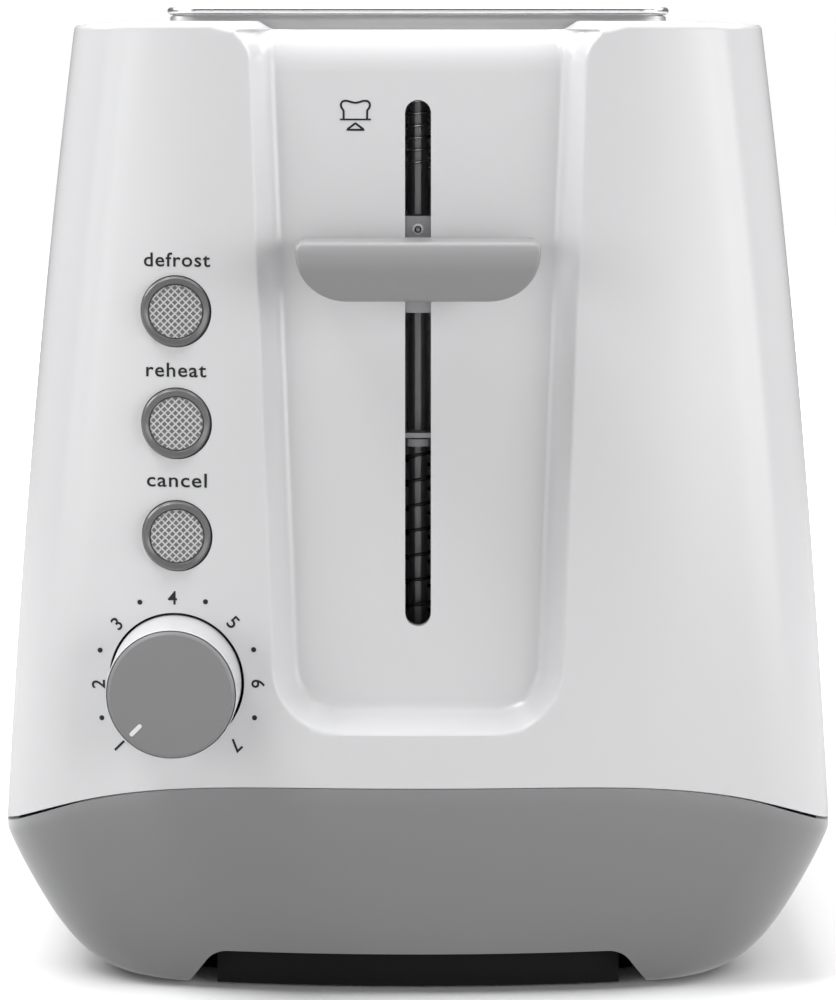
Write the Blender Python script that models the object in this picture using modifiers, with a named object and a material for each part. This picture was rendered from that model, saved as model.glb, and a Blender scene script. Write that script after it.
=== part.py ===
# Two-slot pop-up toaster, modelled as its separate pieces.
# Metres, +Z up. The lever end faces -Y, +X is to the right of someone facing it, and the
# origin is on the table under the middle of the overall box.
from math import asin, cos, pi, radians, sin, sqrt, tan

import bmesh
import bpy
from mathutils import Matrix, Vector

MM = 0.001
GAP = 0.3 * MM                     # between pieces that touch

# --- casing ---------------------------------------------------------------------------
FRONT_Y = -133 * MM                # front of the casing at its middle, at the seam
REAR_Y = 145 * MM
HALF_WIDTH = 85.9 * MM             # at the seam, where the casing is widest
TAPER_Z = 34 * MM                  # height that the side taper is counted from
TAPER_RISE = 163 * MM
TAPER = (10.1 * MM, 5.6 * MM)      # side taper, linear and square parts
LEAN = (4.5 * MM, 2.5 * MM)        # the same for the two ends
BOW_RADIUS = 260 * MM              # plan radius of both ends
CORNER_RADIUS = 21 * MM
WALL = 2.5 * MM
TOP_Z = 197 * MM
SEAM_Z = 44.5 * MM                 # joint between the white casing and the grey base
SEAM_DIP = 11.8 * MM               # how far the seam falls towards the sides
SEAM_POWER = 4.4
BASE_Z = 0.8 * MM
BASE_INSET = (22.4 * MM, 12 * MM)  # how far the base draws in at its foot: sides, ends
BASE_LIP = 6 * MM
ARCH_TOP = 8.7 * MM
ARCH_FLAT = 39 * MM                # half width of the arch's level top
ARCH_ROUND = 5.5 * MM
ARCH_FLARE = radians(35)           # slope of its sides from upright
END_STEPS, CORNER_STEPS = 4, 5     # flats along half an end, and round a corner

# --- recess in the front, with the lever's slot ------------------------------------------
PANEL_Y = -124.3 * MM              # recess floor at PANEL_Z
PANEL_Z = 60 * MM                  # lowest line of the recess floor
PANEL_LEAN = 0.0456
PANEL_HALF = 24 * MM               # half width of the floor at PANEL_Z
PANEL_SPREAD = 0.0432
PANEL_ROUND = 9 * MM
RECESS_DRAFT = 0.55                # run of the recess wall for each unit of depth
RECESS_AHEAD = 14 * MM             # cutters reach this far in front of the recess floor
LEVER_SLOT = (2.6 * MM, 76.2 * MM, 182 * MM)     # half width, lowest, highest

# --- top plate ----------------------------------------------------------------------------
PLATE_HALF = 50.8 * MM
PLATE_Y = (-103 * MM, 115 * MM)
PLATE_Z = (194.8 * MM, 198.6 * MM, 200.6 * MM)   # underside, floor, rim
PLATE_RIM = 2.4 * MM
PLATE_ROUND = 8 * MM
SLOT_X = 24 * MM                   # middle of a bread slot
SLOT_HALF = 16 * MM
SLOT_Y = (-66 * MM, 80 * MM)
SLOT_ROUND = 3 * MM

# --- chassis and heaters ------------------------------------------------------------------
SHEET = 1.2 * MM
CHASSIS_Y = (-76 * MM, 88 * MM)    # front faces of the two end plates
CHASSIS_HALF = 53 * MM
CHASSIS_Z = (26 * MM, 192 * MM)
FLANGE = 15 * MM
RACK_GROOVE = (3 * MM, 51 * MM, 155 * MM)        # half width, lowest, highest
SHIELD_X = 50 * MM
HEATER_X = 45.5 * MM
HEATER_Z = (48 * MM, 172 * MM)
GUIDE_OFFSET = 13.5 * MM           # bread guide from the middle of its slot
GUIDE_Z = (48 * MM, 184 * MM)
GUIDE_Y = (-70 * MM, 83 * MM)
GUIDE_WIRE = 1.6 * MM
GUIDE_WINDOWS = 8

# --- lever carriage -----------------------------------------------------------------------
ROD_Y = -104 * MM
ROD_RADIUS = 2 * MM
ROD_Z = (30 * MM, 191 * MM)
COLLAR_Z = (111.5 * MM, 113 * MM)
COLLAR_RADIUS = 8 * MM
BRACKET_TOP = 158.6 * MM
BRACKET_REAR = -86.5 * MM
BRACKET_FRONT = -113.5 * MM
BRACKET_METAL = 1.0 * MM
RACK_Z = (121 * MM, 131 * MM)
RACK_Y = (-86.2 * MM, 94 * MM)
RACK_TINES = 11
TINE_HALF = 9 * MM
HANDLE_HALF = 23.9 * MM
HANDLE_Z = (143.2 * MM, 154.9 * MM)
HANDLE_Y = (-145 * MM, -125 * MM)
HANDLE_ROUND = 10 * MM
ARM = (1.9 * MM, 144.5 * MM, 153.5 * MM)         # half width, lowest, highest
RIVET_Z = 155.9 * MM

# --- controls -----------------------------------------------------------------------------
BUTTON_X = -48.4 * MM
BUTTON_Z = {"defrost": 140.1 * MM, "reheat": 117.7 * MM, "cancel": 95.1 * MM}
BUTTON_RADIUS = 7 * MM
LENS_RADIUS = 5.2 * MM
BUTTON_PROUD = 1.2 * MM
BUTTON_STEM_END = -113.6 * MM
KNOB_X = -48.75 * MM
KNOB_Z = 65.7 * MM
KNOB_RADIUS = (14.2 * MM, 12.9 * MM)             # foot, face
KNOB_Y = (-143.5 * MM, -124 * MM)
KNOB_SHAFT = 3 * MM
POINTER_ANGLE = radians(225)
POINTER_FROM_AXIS = 10 * MM
BOARD_Y = (-108 * MM, -106.4 * MM)
BOARD_X = (-67 * MM, -31 * MM)
BOARD_Z = (52 * MM, 158 * MM)

# --- underside ----------------------------------------------------------------------------
PAN_HALF = 55.5 * MM
PAN_Y = (-109 * MM, 121 * MM)
PAN_Z = (0.6 * MM, 13 * MM)
PAN_FLOOR = 3.6 * MM
PAN_WALL = 2 * MM
PAN_ROUND = 24 * MM
PAN_RAIL = 41 * MM                 # tray rails from the middle
NOSE_HALF = 41.5 * MM              # noses that close the arches behind the base's wall
NOSE_Y = (-120.3 * MM, 132.3 * MM)
NOSE_TOP = 12 * MM
NOSE_POINTS = 8
TRAY_HALF = 46 * MM
TRAY_Y = (-62 * MM, 131.5 * MM)
TRAY_Z = (15.5 * MM, 22 * MM)
TRAY_FACE_HALF = 50 * MM
TRAY_FACE_Z = (13.5 * MM, 25.1 * MM)
FOOT_AT = (40 * MM, -95 * MM, 108 * MM)          # x, front y, rear y
FOOT_RADIUS = 7 * MM
SCREW_AT = (50 * MM, -84 * MM, 97 * MM)
GLAND_Z = 34 * MM


# --- scene helpers --------------------------------------------------------------------------
def clear_scene():
    for obj in list(bpy.data.objects):
        bpy.data.objects.remove(obj, do_unlink=True)


def new_collection(name):
    collection = bpy.data.collections.new(name)
    bpy.context.scene.collection.children.link(collection)
    return collection


def material(name, colour, roughness, metallic=0.0):
    made = bpy.data.materials.new(name)
    made.use_nodes = True
    shader = made.node_tree.nodes["Principled BSDF"]
    shader.inputs["Base Color"].default_value = (*colour, 1.0)
    shader.inputs["Roughness"].default_value = roughness
    shader.inputs["Metallic"].default_value = metallic
    made.diffuse_color = (*colour, 1.0)
    return made


clear_scene()
PARTS = new_collection("pop_up_toaster")
CUTTERS = new_collection("pop_up_toaster_cutters")

WHITE = material("white_gloss_plastic", (0.86, 0.86, 0.87), 0.18)
GREY = material("grey_satin_plastic", (0.25, 0.25, 0.26), 0.45)
LEVER_GREY = material("lever_grey_plastic", (0.27, 0.27, 0.28), 0.38)
BLACK = material("black_plastic", (0.012, 0.012, 0.013), 0.6)
STEEL = material("brushed_stainless", (0.62, 0.62, 0.63), 0.3, 1.0)
ZINC = material("zinc_plated_sheet", (0.48, 0.49, 0.5), 0.42, 1.0)
WIRE = material("bright_wire", (0.72, 0.72, 0.73), 0.25, 1.0)
MICA = material("mica_board", (0.55, 0.5, 0.42), 0.6)
BOARD = material("circuit_board", (0.05, 0.16, 0.08), 0.5)
SMOKE = material("smoked_metallic_ring", (0.2, 0.2, 0.2), 0.3, 0.6)
LENS = material("frosted_lens", (0.55, 0.55, 0.55), 0.25)
COPPER = material("copper_winding", (0.55, 0.25, 0.12), 0.35, 1.0)
RUBBER = material("rubber", (0.03, 0.03, 0.03), 0.85)


def add_object(name, mesh, finish, at=(0, 0, 0), parent=None):
    """Put a mesh in the scene with its origin at a world point; no finish makes it a cutter."""
    obj = bpy.data.objects.new(name, mesh)
    if finish is None:
        CUTTERS.objects.link(obj)
        obj.hide_render = True
        obj.display_type = "WIRE"
    else:
        PARTS.objects.link(obj)
        mesh.materials.clear()
        mesh.materials.append(finish)
    obj.parent = parent
    obj.location = Vector(at) - (parent.location if parent else Vector())
    return obj


def axis_empty(name, at):
    """An empty on a joint's axis, which the pieces that move on that joint hang from."""
    empty = bpy.data.objects.new(name, None)
    empty.location = at
    empty.empty_display_size = 0.02
    PARTS.objects.link(empty)
    return empty


def mesh_from(bm, name, smooth_angle=None):
    bmesh.ops.recalc_face_normals(bm, faces=bm.faces)
    mesh = bpy.data.meshes.new(name)
    bm.to_mesh(mesh)
    bm.free()
    if smooth_angle:
        mesh.shade_smooth()
        mesh.set_sharp_from_angle(angle=smooth_angle)
    return mesh


def fill_boxes(bm, boxes, about):
    for low, high in boxes:
        size = [b - a for a, b in zip(low, high)]
        middle = [(a + b) / 2 - c for a, b, c in zip(low, high, about)]
        bmesh.ops.create_cube(bm, size=1, matrix=Matrix.LocRotScale(middle, None, size))


def box(name, low, high, finish, parent=None):
    at = [(a + b) / 2 for a, b in zip(low, high)]
    bm = bmesh.new()
    fill_boxes(bm, [(low, high)], at)
    return add_object(name, mesh_from(bm, name), finish, at, parent)


def box_set(name, boxes):
    """A cutter or joining piece of several boxes that don't touch each other."""
    bm = bmesh.new()
    fill_boxes(bm, boxes, (0, 0, 0))
    return add_object(name, mesh_from(bm, name), None)


def cylinder(name, at, radius, length, finish, along="Z", parent=None, sides=24):
    """A cylinder from a point on its axis, running a length along +X, +Y or +Z."""
    turn = {"X": Matrix.Rotation(pi / 2, 4, "Y"), "Y": Matrix.Rotation(-pi / 2, 4, "X")}
    bm = bmesh.new()
    bmesh.ops.create_cone(bm, cap_ends=True, segments=sides, radius1=radius, radius2=radius,
                          depth=length, matrix=Matrix.Translation((0, 0, length / 2)))
    bm.transform(turn.get(along, Matrix.Identity(4)))
    return add_object(name, mesh_from(bm, name, radians(40)), finish, at, parent)


def turned(name, profile, at, finish, along="Z", parent=None, sides=32):
    """A solid of revolution from (radius, height) points, listed top to bottom."""
    mesh = bpy.data.meshes.new(name)
    points = [(r, 0, h) for r, h in profile]
    mesh.from_pydata(points, [(i, i + 1) for i in range(len(points) - 1)], [])
    obj = add_object(name, mesh, finish, at, parent)
    screw = obj.modifiers.new("turn", "SCREW")
    screw.steps = screw.render_steps = sides
    screw.use_merge_vertices = True
    screw.merge_threshold = 0.00001
    screw.use_smooth_shade = True
    if along == "Y":
        obj.rotation_euler = (pi / 2, 0, 0)
    return obj


def prism(name, outline, start, end, finish, along="Z", parent=None):
    """A flat closed outline carried from one level to another, as a filled 2D curve."""
    curve = bpy.data.curves.new(name, "CURVE")
    curve.dimensions = "2D"
    curve.fill_mode = "BOTH"
    curve.extrude = (end - start) / 2
    spline = curve.splines.new("POLY")
    spline.points.add(len(outline) - 1)
    for point, (a, b) in zip(spline.points, outline):
        point.co = (a, b, 0, 1)
    spline.use_cyclic_u = True
    middle = (start + end) / 2
    if along == "Z":
        place = Matrix.Translation((0, 0, middle))
    else:
        place = Matrix.Translation((0, middle, 0)) @ Matrix.Rotation(pi / 2, 4, "X")
    return as_mesh(name, curve, place, finish, parent)


def as_mesh(name, curve, place, finish, parent=None):
    """Turn a curve into a mesh object with its caps welded."""
    obj = bpy.data.objects.new(name + "_curve", curve)
    CUTTERS.objects.link(obj)
    obj.matrix_world = place
    bpy.context.view_layer.update()
    evaluated = obj.evaluated_get(bpy.context.evaluated_depsgraph_get())
    mesh = bpy.data.meshes.new_from_object(evaluated)
    bm = bmesh.new()
    bm.from_mesh(mesh)
    bpy.data.meshes.remove(mesh)
    bmesh.ops.remove_doubles(bm, verts=bm.verts, dist=0.00001)
    made = add_object(name, mesh_from(bm, name), finish, (0, 0, 0), parent)
    made.matrix_world = obj.matrix_world
    if parent:
        made.location = place.translation - parent.location
    bpy.data.objects.remove(obj, do_unlink=True)
    return made


def boolean(obj, other, operation="DIFFERENCE"):
    step = obj.modifiers.new(other.name, "BOOLEAN")
    step.operation = operation
    step.object = other
    step.solver = "EXACT"


def rounded_rectangle(half, y_low, y_high, radius, steps=5):
    """Plan outline of a rectangle with round corners, counter-clockwise."""
    points = []
    middles = [(half - radius, y_high - radius), (radius - half, y_high - radius),
               (radius - half, y_low + radius), (half - radius, y_low + radius)]
    for corner, (x, y) in enumerate(middles):
        for step in range(steps + 1):
            angle = (corner + step / steps) * pi / 2
            points.append((x + radius * cos(angle), y + radius * sin(angle)))
    return points


# --- casing surfaces ------------------------------------------------------------------------
def seam_height(x):
    return SEAM_Z - SEAM_DIP * min(abs(x) / HALF_WIDTH, 1) ** SEAM_POWER


def risen(z, amounts):
    """How far a wall has drawn in by a height, from its linear and square parts."""
    part = max(z - TAPER_Z, 0) / TAPER_RISE
    return amounts[0] * part + amounts[1] * part * part


def front_at(x, z):
    """Y of the casing's front at a place on its face, clear of the corners."""
    return FRONT_Y + risen(z, LEAN) + BOW_RADIUS - sqrt(BOW_RADIUS ** 2 - x * x)


def plan_point(side, end, step, half, reach):
    """A point of the plan outline.

    Step runs from 0 at the middle of an end, through 1 where the bowed end meets the
    corner arc, to 2 where the corner arc meets the flat side.
    """
    corner_x = half - CORNER_RADIUS
    inner = BOW_RADIUS - CORNER_RADIUS
    turn = asin(corner_x / inner)
    if step <= 1:
        x = BOW_RADIUS * sin(step * turn)
        y = BOW_RADIUS * (1 - cos(step * turn))
    else:
        angle = turn + (step - 1) * (pi / 2 - turn)
        x = corner_x + CORNER_RADIUS * sin(angle)
        y = BOW_RADIUS - sqrt(inner ** 2 - corner_x ** 2) - CORNER_RADIUS * cos(angle)
    return side * x, end * (reach - y)


def plan_steps():
    """(side, end, step) for each point once round the plan, counter-clockwise."""
    quarter = [i / END_STEPS for i in range(END_STEPS)]
    quarter += [1 + i / CORNER_STEPS for i in range(CORNER_STEPS + 1)]
    steps = [(1, -1, s) for s in quarter] + [(1, 1, s) for s in reversed(quarter)]
    steps += [(-1, 1, s) for s in quarter[1:]] + [(-1, -1, s) for s in reversed(quarter[1:])]
    return steps


def casing_ring(height_of, side_inset=0.0, end_inset=0.0):
    """One ring of the casing; height_of gives each point's height from its x at the seam."""
    ring = []
    middle, reach = (FRONT_Y + REAR_Y) / 2, (REAR_Y - FRONT_Y) / 2
    for side, end, step in plan_steps():
        z = height_of(plan_point(side, end, step, HALF_WIDTH, reach)[0])
        half = HALF_WIDTH - risen(z, TAPER) - side_inset
        x, y = plan_point(side, end, step, half, reach - risen(z, LEAN) - end_inset)
        ring.append((x, y + middle, z))
    return ring


def loft(name, rings, finish, close_bottom=False, close_top=False):
    """A surface through rings of equal length, listed from the bottom up."""
    bm = bmesh.new()
    rows = [[bm.verts.new(p) for p in ring] for ring in rings]
    for low, high in zip(rows, rows[1:]):
        for i in range(len(low)):
            j = (i + 1) % len(low)
            bm.faces.new((low[i], low[j], high[j], high[i]))
    if close_bottom:
        bm.faces.new(reversed(rows[0]))
    if close_top:
        bm.faces.new(rows[-1])
    mesh = bpy.data.meshes.new(name)
    bm.to_mesh(mesh)
    bm.free()
    mesh.shade_smooth()
    mesh.set_sharp_from_angle(angle=radians(35))
    return add_object(name, mesh, finish)


def solidify(obj, thickness):
    wall = obj.modifiers.new("wall", "SOLIDIFY")
    wall.thickness = thickness
    wall.offset = -1
    wall.use_even_offset = True


def casing_rings(floor):
    """Rings of the white casing, from the seam (or a level floor) up to its flat top."""
    def level(part):
        return lambda x: floor(x) + part * (TOP_Z - floor(x))
    return [casing_ring(level(part / 5)) for part in range(6)]


# --- recess in the front ------------------------------------------------------------------
def recess_section(ahead, grow):
    """The recess outline at a depth ahead of its floor, grown all round; it runs out at the top."""
    spread = grow + RECESS_DRAFT * ahead
    top, bottom = TOP_Z + 12 * MM, PANEL_Z - spread
    radius = PANEL_ROUND + spread

    def half(z):
        return PANEL_HALF + PANEL_SPREAD * (z - PANEL_Z) + spread

    points = [(half(top), top)]
    for side in (1, -1):
        arc = [i / 6 * pi / 2 for i in range(7)]
        for angle in arc if side > 0 else reversed(arc):
            z = bottom + radius * (1 - sin(angle))
            points.append((side * (half(z) - radius * (1 - cos(angle))), z))
    points.append((-half(top), top))
    return [(x, PANEL_Y + PANEL_LEAN * (z - PANEL_Z) - ahead, z) for x, z in points]


def recess_block(name, behind, grow):
    """A drafted block in the shape of the recess, its back a distance behind the floor."""
    back = [(x, y + behind, z) for x, y, z in recess_section(0, grow)]
    front = recess_section(RECESS_AHEAD, grow)
    return loft(name, [front, back], None, close_bottom=True, close_top=True)


def face_outwards(obj):
    bm = bmesh.new()
    bm.from_mesh(obj.data)
    bmesh.ops.recalc_face_normals(bm, faces=bm.faces)
    bm.to_mesh(obj.data)
    bm.free()


# --- casing pieces ------------------------------------------------------------------------
def make_outer_housing():
    housing = loft("outer_housing", casing_rings(lambda x: seam_height(x) + GAP), WHITE,
                   close_top=True)
    solidify(housing, WALL)

    solid = loft("casing_solid", casing_rings(lambda x: 20 * MM), None, True, True)
    face_outwards(solid)
    tub = recess_block("recess_tub", WALL, WALL * 1.15)
    face_outwards(tub)
    boolean(tub, solid, "INTERSECT")
    boss = cylinder("knob_boss", (KNOB_X, -132 * MM, KNOB_Z), KNOB_RADIUS[0] + 3 * MM,
                    10.8 * MM, None, "Y", sides=40)
    boolean(boss, solid, "INTERSECT")
    boolean(housing, tub, "UNION")
    boolean(housing, boss, "UNION")

    hollow = recess_block("recess_hollow", 0, 0)
    face_outwards(hollow)
    boolean(housing, hollow)
    boolean(housing, prism("lever_slot", lever_slot_outline(), -130 * MM, -110 * MM, None, "Y"))
    boolean(housing, cylinder("knob_pocket", (KNOB_X, -150 * MM, KNOB_Z),
                              KNOB_RADIUS[0] + 0.4 * MM, 26.3 * MM, None, "Y", sides=40))
    boolean(housing, cylinder("knob_hole", (KNOB_X, -130 * MM, KNOB_Z), KNOB_SHAFT + 0.5 * MM,
                              15 * MM, None, "Y"))
    for name, z in BUTTON_Z.items():
        hole = cylinder(f"hole_{name}", (BUTTON_X, -135 * MM, z), BUTTON_RADIUS + GAP,
                        20 * MM, None, "Y", sides=32)
        boolean(housing, hole)
    opening = rounded_rectangle(PLATE_HALF + GAP, PLATE_Y[0] - GAP, PLATE_Y[1] + GAP,
                                PLATE_ROUND + GAP)
    boolean(housing, prism("plate_opening", opening, 185 * MM, 205 * MM, None))


def lever_slot_outline():
    """Upright slot with round ends, as (x, z) pairs, counter-clockwise seen from the front."""
    half, low, high = LEVER_SLOT
    points = []
    for i in range(9):
        points.append((half * cos(i / 8 * pi), high - half + half * sin(i / 8 * pi)))
    for i in range(9):
        points.append((-half * cos(i / 8 * pi), low + half - half * sin(i / 8 * pi)))
    return points


def make_top_plate():
    """Pressed stainless plate: a raised rim round a floor with two bread slots."""
    under, floor, rim = PLATE_Z
    outline = rounded_rectangle(PLATE_HALF, *PLATE_Y, PLATE_ROUND)
    plate = prism("top_plate", outline, under, rim, STEEL)
    inside = rounded_rectangle(PLATE_HALF - PLATE_RIM, PLATE_Y[0] + PLATE_RIM,
                               PLATE_Y[1] - PLATE_RIM, PLATE_ROUND - PLATE_RIM)
    boolean(plate, prism("plate_floor", inside, floor, rim + 5 * MM, None))
    for side, word in ((-1, "left"), (1, "right")):
        hole = [(x + side * SLOT_X, y)
                for x, y in rounded_rectangle(SLOT_HALF, *SLOT_Y, SLOT_ROUND, 3)]
        boolean(plate, prism(f"bread_slot_{word}", hole, under - 5 * MM, rim + 5 * MM, None))


def base_draw(part):
    """Share of the base's inset by how far down the wall it is, from 0 at the seam to 1."""
    return 0.7 * part ** 1.15 + 0.3 * (1 - sqrt(1 - part ** 6))


def arch_outline():
    """The arch cut in each end of the base: a level top, round corners and flared sides."""
    foot, steps = -1 * MM, 5
    right = []
    for i in range(steps + 1):
        angle = ARCH_FLARE + i / steps * (pi / 2 - ARCH_FLARE)
        right.append((ARCH_FLAT + ARCH_ROUND * cos(angle), ARCH_TOP - ARCH_ROUND * (1 - sin(angle))))
    x, z = right[0]
    right.insert(0, (x + (z - foot) * tan(ARCH_FLARE), foot))
    return right + [(-x, z) for x, z in reversed(right)]


def make_base_shell():
    """Grey base: a wall that draws in towards its foot, and a flat lip under it."""
    def level(part):
        return lambda x: BASE_Z + part * (seam_height(x) - GAP - BASE_Z)
    side, end = BASE_INSET
    rings = [casing_ring(level(0), side + BASE_LIP, end + BASE_LIP)]
    for part in (0, 0.04, 0.1, 0.2, 0.35, 0.5, 0.7, 0.85, 0.95, 1):
        draw = base_draw(max(0.95 - part, 0) / 0.95)
        rings.append(casing_ring(level(part), side * draw, end * draw))
    base = loft("base_shell", rings, GREY)
    solidify(base, WALL)

    boolean(base, prism("arch_front", arch_outline(), -150 * MM, -100 * MM, None, "Y"))
    boolean(base, prism("arch_rear", arch_outline(), 110 * MM, 150 * MM, None, "Y"))
    face = TRAY_FACE_HALF + 0.4 * MM
    boolean(base, box("tray_opening", (-face, 115 * MM, TRAY_FACE_Z[0] - GAP),
                      (face, 155 * MM, TRAY_FACE_Z[1] + GAP), None))
    boolean(base, cylinder("gland_hole", (0, 125 * MM, GLAND_Z), 5 * MM, 30 * MM, None, "Y"))
    boolean(base, cylinder("gland_seat", (0, 143.2 * MM, GLAND_Z), 7 * MM, 10 * MM, None, "Y"))


def make_bottom_plate():
    """Black pan under the base: a nose behind each arch, pockets for feet and screws, tray rails."""
    low, high = PAN_Z
    wall = PAN_WALL
    pan = prism("bottom_plate", rounded_rectangle(PAN_HALF, *PAN_Y, PAN_ROUND), low, high, BLACK)
    for word, end in (("front", 0), ("rear", 1)):
        boolean(pan, prism(f"nose_{word}", nose_outline(end, 0), low, NOSE_TOP, None), "UNION")
    inside = rounded_rectangle(PAN_HALF - wall, PAN_Y[0] + wall, PAN_Y[1] - wall, PAN_ROUND - wall)
    boolean(pan, prism("pan_inside", inside, low + PAN_FLOOR, high + 5 * MM, None))
    for word, end in (("front", 0), ("rear", 1)):
        boolean(pan, prism(f"nose_inside_{word}", nose_outline(end, wall), low + PAN_FLOOR,
                           high + 5 * MM, None))
    rails = [((x - wall / 2, -60 * MM, low + MM), (x + wall / 2, 110 * MM, 15.2 * MM))
             for x in (-PAN_RAIL, PAN_RAIL)]
    boolean(pan, box_set("tray_rails", rails), "UNION")
    for word, x, y in corner_places(FOOT_AT):
        boolean(pan, cylinder(f"foot_pocket_{word}", (x, y, -5 * MM), FOOT_RADIUS + GAP,
                              8.5 * MM, None))
    for word, x, y in corner_places(SCREW_AT):
        boolean(pan, cylinder(f"screw_pocket_{word}", (x, y, -5 * MM), 3.4 * MM, 7.8 * MM, None, sides=16))
        boolean(pan, cylinder(f"screw_hole_{word}", (x, y, 0), 1.9 * MM, 10 * MM, None, sides=16))


def nose_outline(end, inset):
    """Plan of the nose at one end of the pan, bowed like the base's wall in front of it."""
    outward = -1 if end == 0 else 1
    half, tip = NOSE_HALF - inset, NOSE_Y[end] - outward * inset
    root = PAN_Y[end] - outward * (PAN_WALL / 2 - inset)
    xs = [half * (2 * i / NOSE_POINTS - 1) for i in range(NOSE_POINTS + 1)]
    bowed = [(x, tip - outward * x * x / (2 * BOW_RADIUS)) for x in xs]
    points = [(half, root), (-half, root)] + bowed
    return points if end == 1 else points[::-1]


def corner_places(places):
    x, front, rear = places
    return [("front_left", -x, front), ("front_right", x, front),
            ("rear_left", -x, rear), ("rear_right", x, rear)]


def make_feet_and_screws():
    for word, x, y in corner_places(FOOT_AT):
        cylinder(f"rubber_foot_{word}", (x, y, 0), FOOT_RADIUS, 3.2 * MM, RUBBER)
    for word, x, y in corner_places(SCREW_AT):
        profile = [(0, 30), (1.4, 30), (1.4, 2.5), (3, 2.5), (3, 1.4), (0, 1.4)]
        turned(f"base_screw_{word}", [(r * MM, h * MM) for r, h in profile], (x, y, 0), ZINC,
               sides=16)


def make_crumb_tray():
    """Shallow steel tray that slides out at the rear, with a grip across its end."""
    axis = axis_empty("crumb_tray_slide", (0, TRAY_Y[1], TRAY_Z[0]))
    tray = box("crumb_tray", (-TRAY_HALF, TRAY_Y[0], TRAY_Z[0]), (TRAY_HALF, TRAY_Y[1], TRAY_Z[1]),
               ZINC, axis)
    wall = SHEET
    boolean(tray, box("tray_hollow", (wall - TRAY_HALF, TRAY_Y[0] + wall, TRAY_Z[0] + wall),
                      (TRAY_HALF - wall, TRAY_Y[1] - wall, 40 * MM), None))
    face = box("tray_face", (-TRAY_FACE_HALF, TRAY_Y[1] - MM, TRAY_FACE_Z[0]),
               (TRAY_FACE_HALF, TRAY_Y[1] + 3 * MM, TRAY_FACE_Z[1]), None)
    grip = box("tray_grip", (-20 * MM, TRAY_Y[1] + 2 * MM, 17 * MM),
               (20 * MM, TRAY_Y[1] + 8 * MM, 21 * MM), None)
    boolean(tray, face, "UNION")
    boolean(tray, grip, "UNION")


def make_cord_gland():
    """Round strain-relief bush where a mains lead would leave the rear of the base."""
    profile = [(3.6, -9), (4.7, -9), (4.7, -0.3), (6.5, -0.3), (6.5, 1), (3.6, 1), (3.6, -9)]
    turned("cord_gland", [(r * MM, -h * MM) for r, h in profile], (0, 144 * MM, GLAND_Z), BLACK,
           "Y", sides=24)


# --- chassis and heaters ------------------------------------------------------------------
def make_chassis_plate(name, front, flange_side):
    """End plate with a groove for each bread rack and a flange along its foot."""
    low, high = CHASSIS_Z
    plate = box(name, (-CHASSIS_HALF, front, low), (CHASSIS_HALF, front + SHEET, high), ZINC)
    if flange_side < 0:
        reach = (front - FLANGE, front + SHEET / 2)
    else:
        reach = (front + SHEET / 2, front + FLANGE)
    boolean(plate, box(f"{name}_flange", (-CHASSIS_HALF, reach[0], low),
                       (CHASSIS_HALF, reach[1], low + SHEET), None), "UNION")
    half, bottom, top = RACK_GROOVE
    grooves = [((s * SLOT_X - half, front - 5 * MM, bottom), (s * SLOT_X + half, front + 5 * MM, top))
               for s in (-1, 1)]
    boolean(plate, box_set(f"{name}_grooves", grooves))
    y = SCREW_AT[1] if flange_side < 0 else SCREW_AT[2]
    for side in (-1, 1):
        boolean(plate, cylinder(f"{name}_hole_{side + 1}", (side * SCREW_AT[0], y, 20 * MM),
                                1.9 * MM, 12 * MM, None, sides=16))


def make_heat_shields():
    y_low, y_high = CHASSIS_Y[0] + SHEET + GAP, CHASSIS_Y[1] - GAP
    for side, word in ((-1, "left"), (1, "right")):
        x = side * SHIELD_X
        shield = box(f"heat_shield_{word}", (x - SHEET / 2, y_low, 30 * MM),
                     (x + SHEET / 2, y_high, 190 * MM), ZINC)
        inner, outer = sorted((x, x - side * 6 * MM))
        boolean(shield, box(f"shield_lip_{word}", (inner, y_low, 30 * MM),
                            (outer, y_high, 30 * MM + SHEET), None), "UNION")


def make_heating_elements():
    """Mica boards with a toothed top and foot edge, where the ribbon is wound."""
    y_low, y_high = CHASSIS_Y[0] + 3 * MM, CHASSIS_Y[1] - 2 * MM
    for word, x in (("left", -HEATER_X), ("centre", 0), ("right", HEATER_X)):
        board = box(f"heating_element_{word}", (x - 0.5 * MM, y_low, HEATER_Z[0]),
                    (x + 0.5 * MM, y_high, HEATER_Z[1]), MICA)
        notches = []
        for i in range(12):
            z = HEATER_Z[0] + (9 + 9.6 * i) * MM
            for y in (y_low, y_high):
                notches.append(((x - MM, y - 1.5 * MM, z - 1.5 * MM), (x + MM, y + 1.5 * MM, z + 1.5 * MM)))
        boolean(board, box_set(f"notches_{word}", notches))


def make_bread_guides():
    """Four cages that swing in about their foot to hold the bread upright."""
    for side, word in ((-1, "left"), (1, "right")):
        for place, offset in (("inner", -GUIDE_OFFSET), ("outer", GUIDE_OFFSET)):
            x = side * (SLOT_X + offset)
            axis = axis_empty(f"guide_axis_{word}_{place}", (x, 0, GUIDE_Z[0] + GUIDE_WIRE / 2))
            half = GUIDE_WIRE / 2
            guide = box(f"bread_guide_{word}_{place}", (x - half, GUIDE_Y[0], GUIDE_Z[0]),
                        (x + half, GUIDE_Y[1], GUIDE_Z[1]), WIRE, axis)
            pitch = (GUIDE_Y[1] - GUIDE_Y[0] - GUIDE_WIRE) / GUIDE_WINDOWS
            windows = []
            for i in range(GUIDE_WINDOWS):
                y = GUIDE_Y[0] + GUIDE_WIRE + i * pitch
                windows.append(((x - 2 * half, y, GUIDE_Z[0] + GUIDE_WIRE),
                                (x + 2 * half, y + pitch - GUIDE_WIRE, GUIDE_Z[1] - GUIDE_WIRE)))
            boolean(guide, box_set(f"windows_{word}_{place}", windows))


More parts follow.
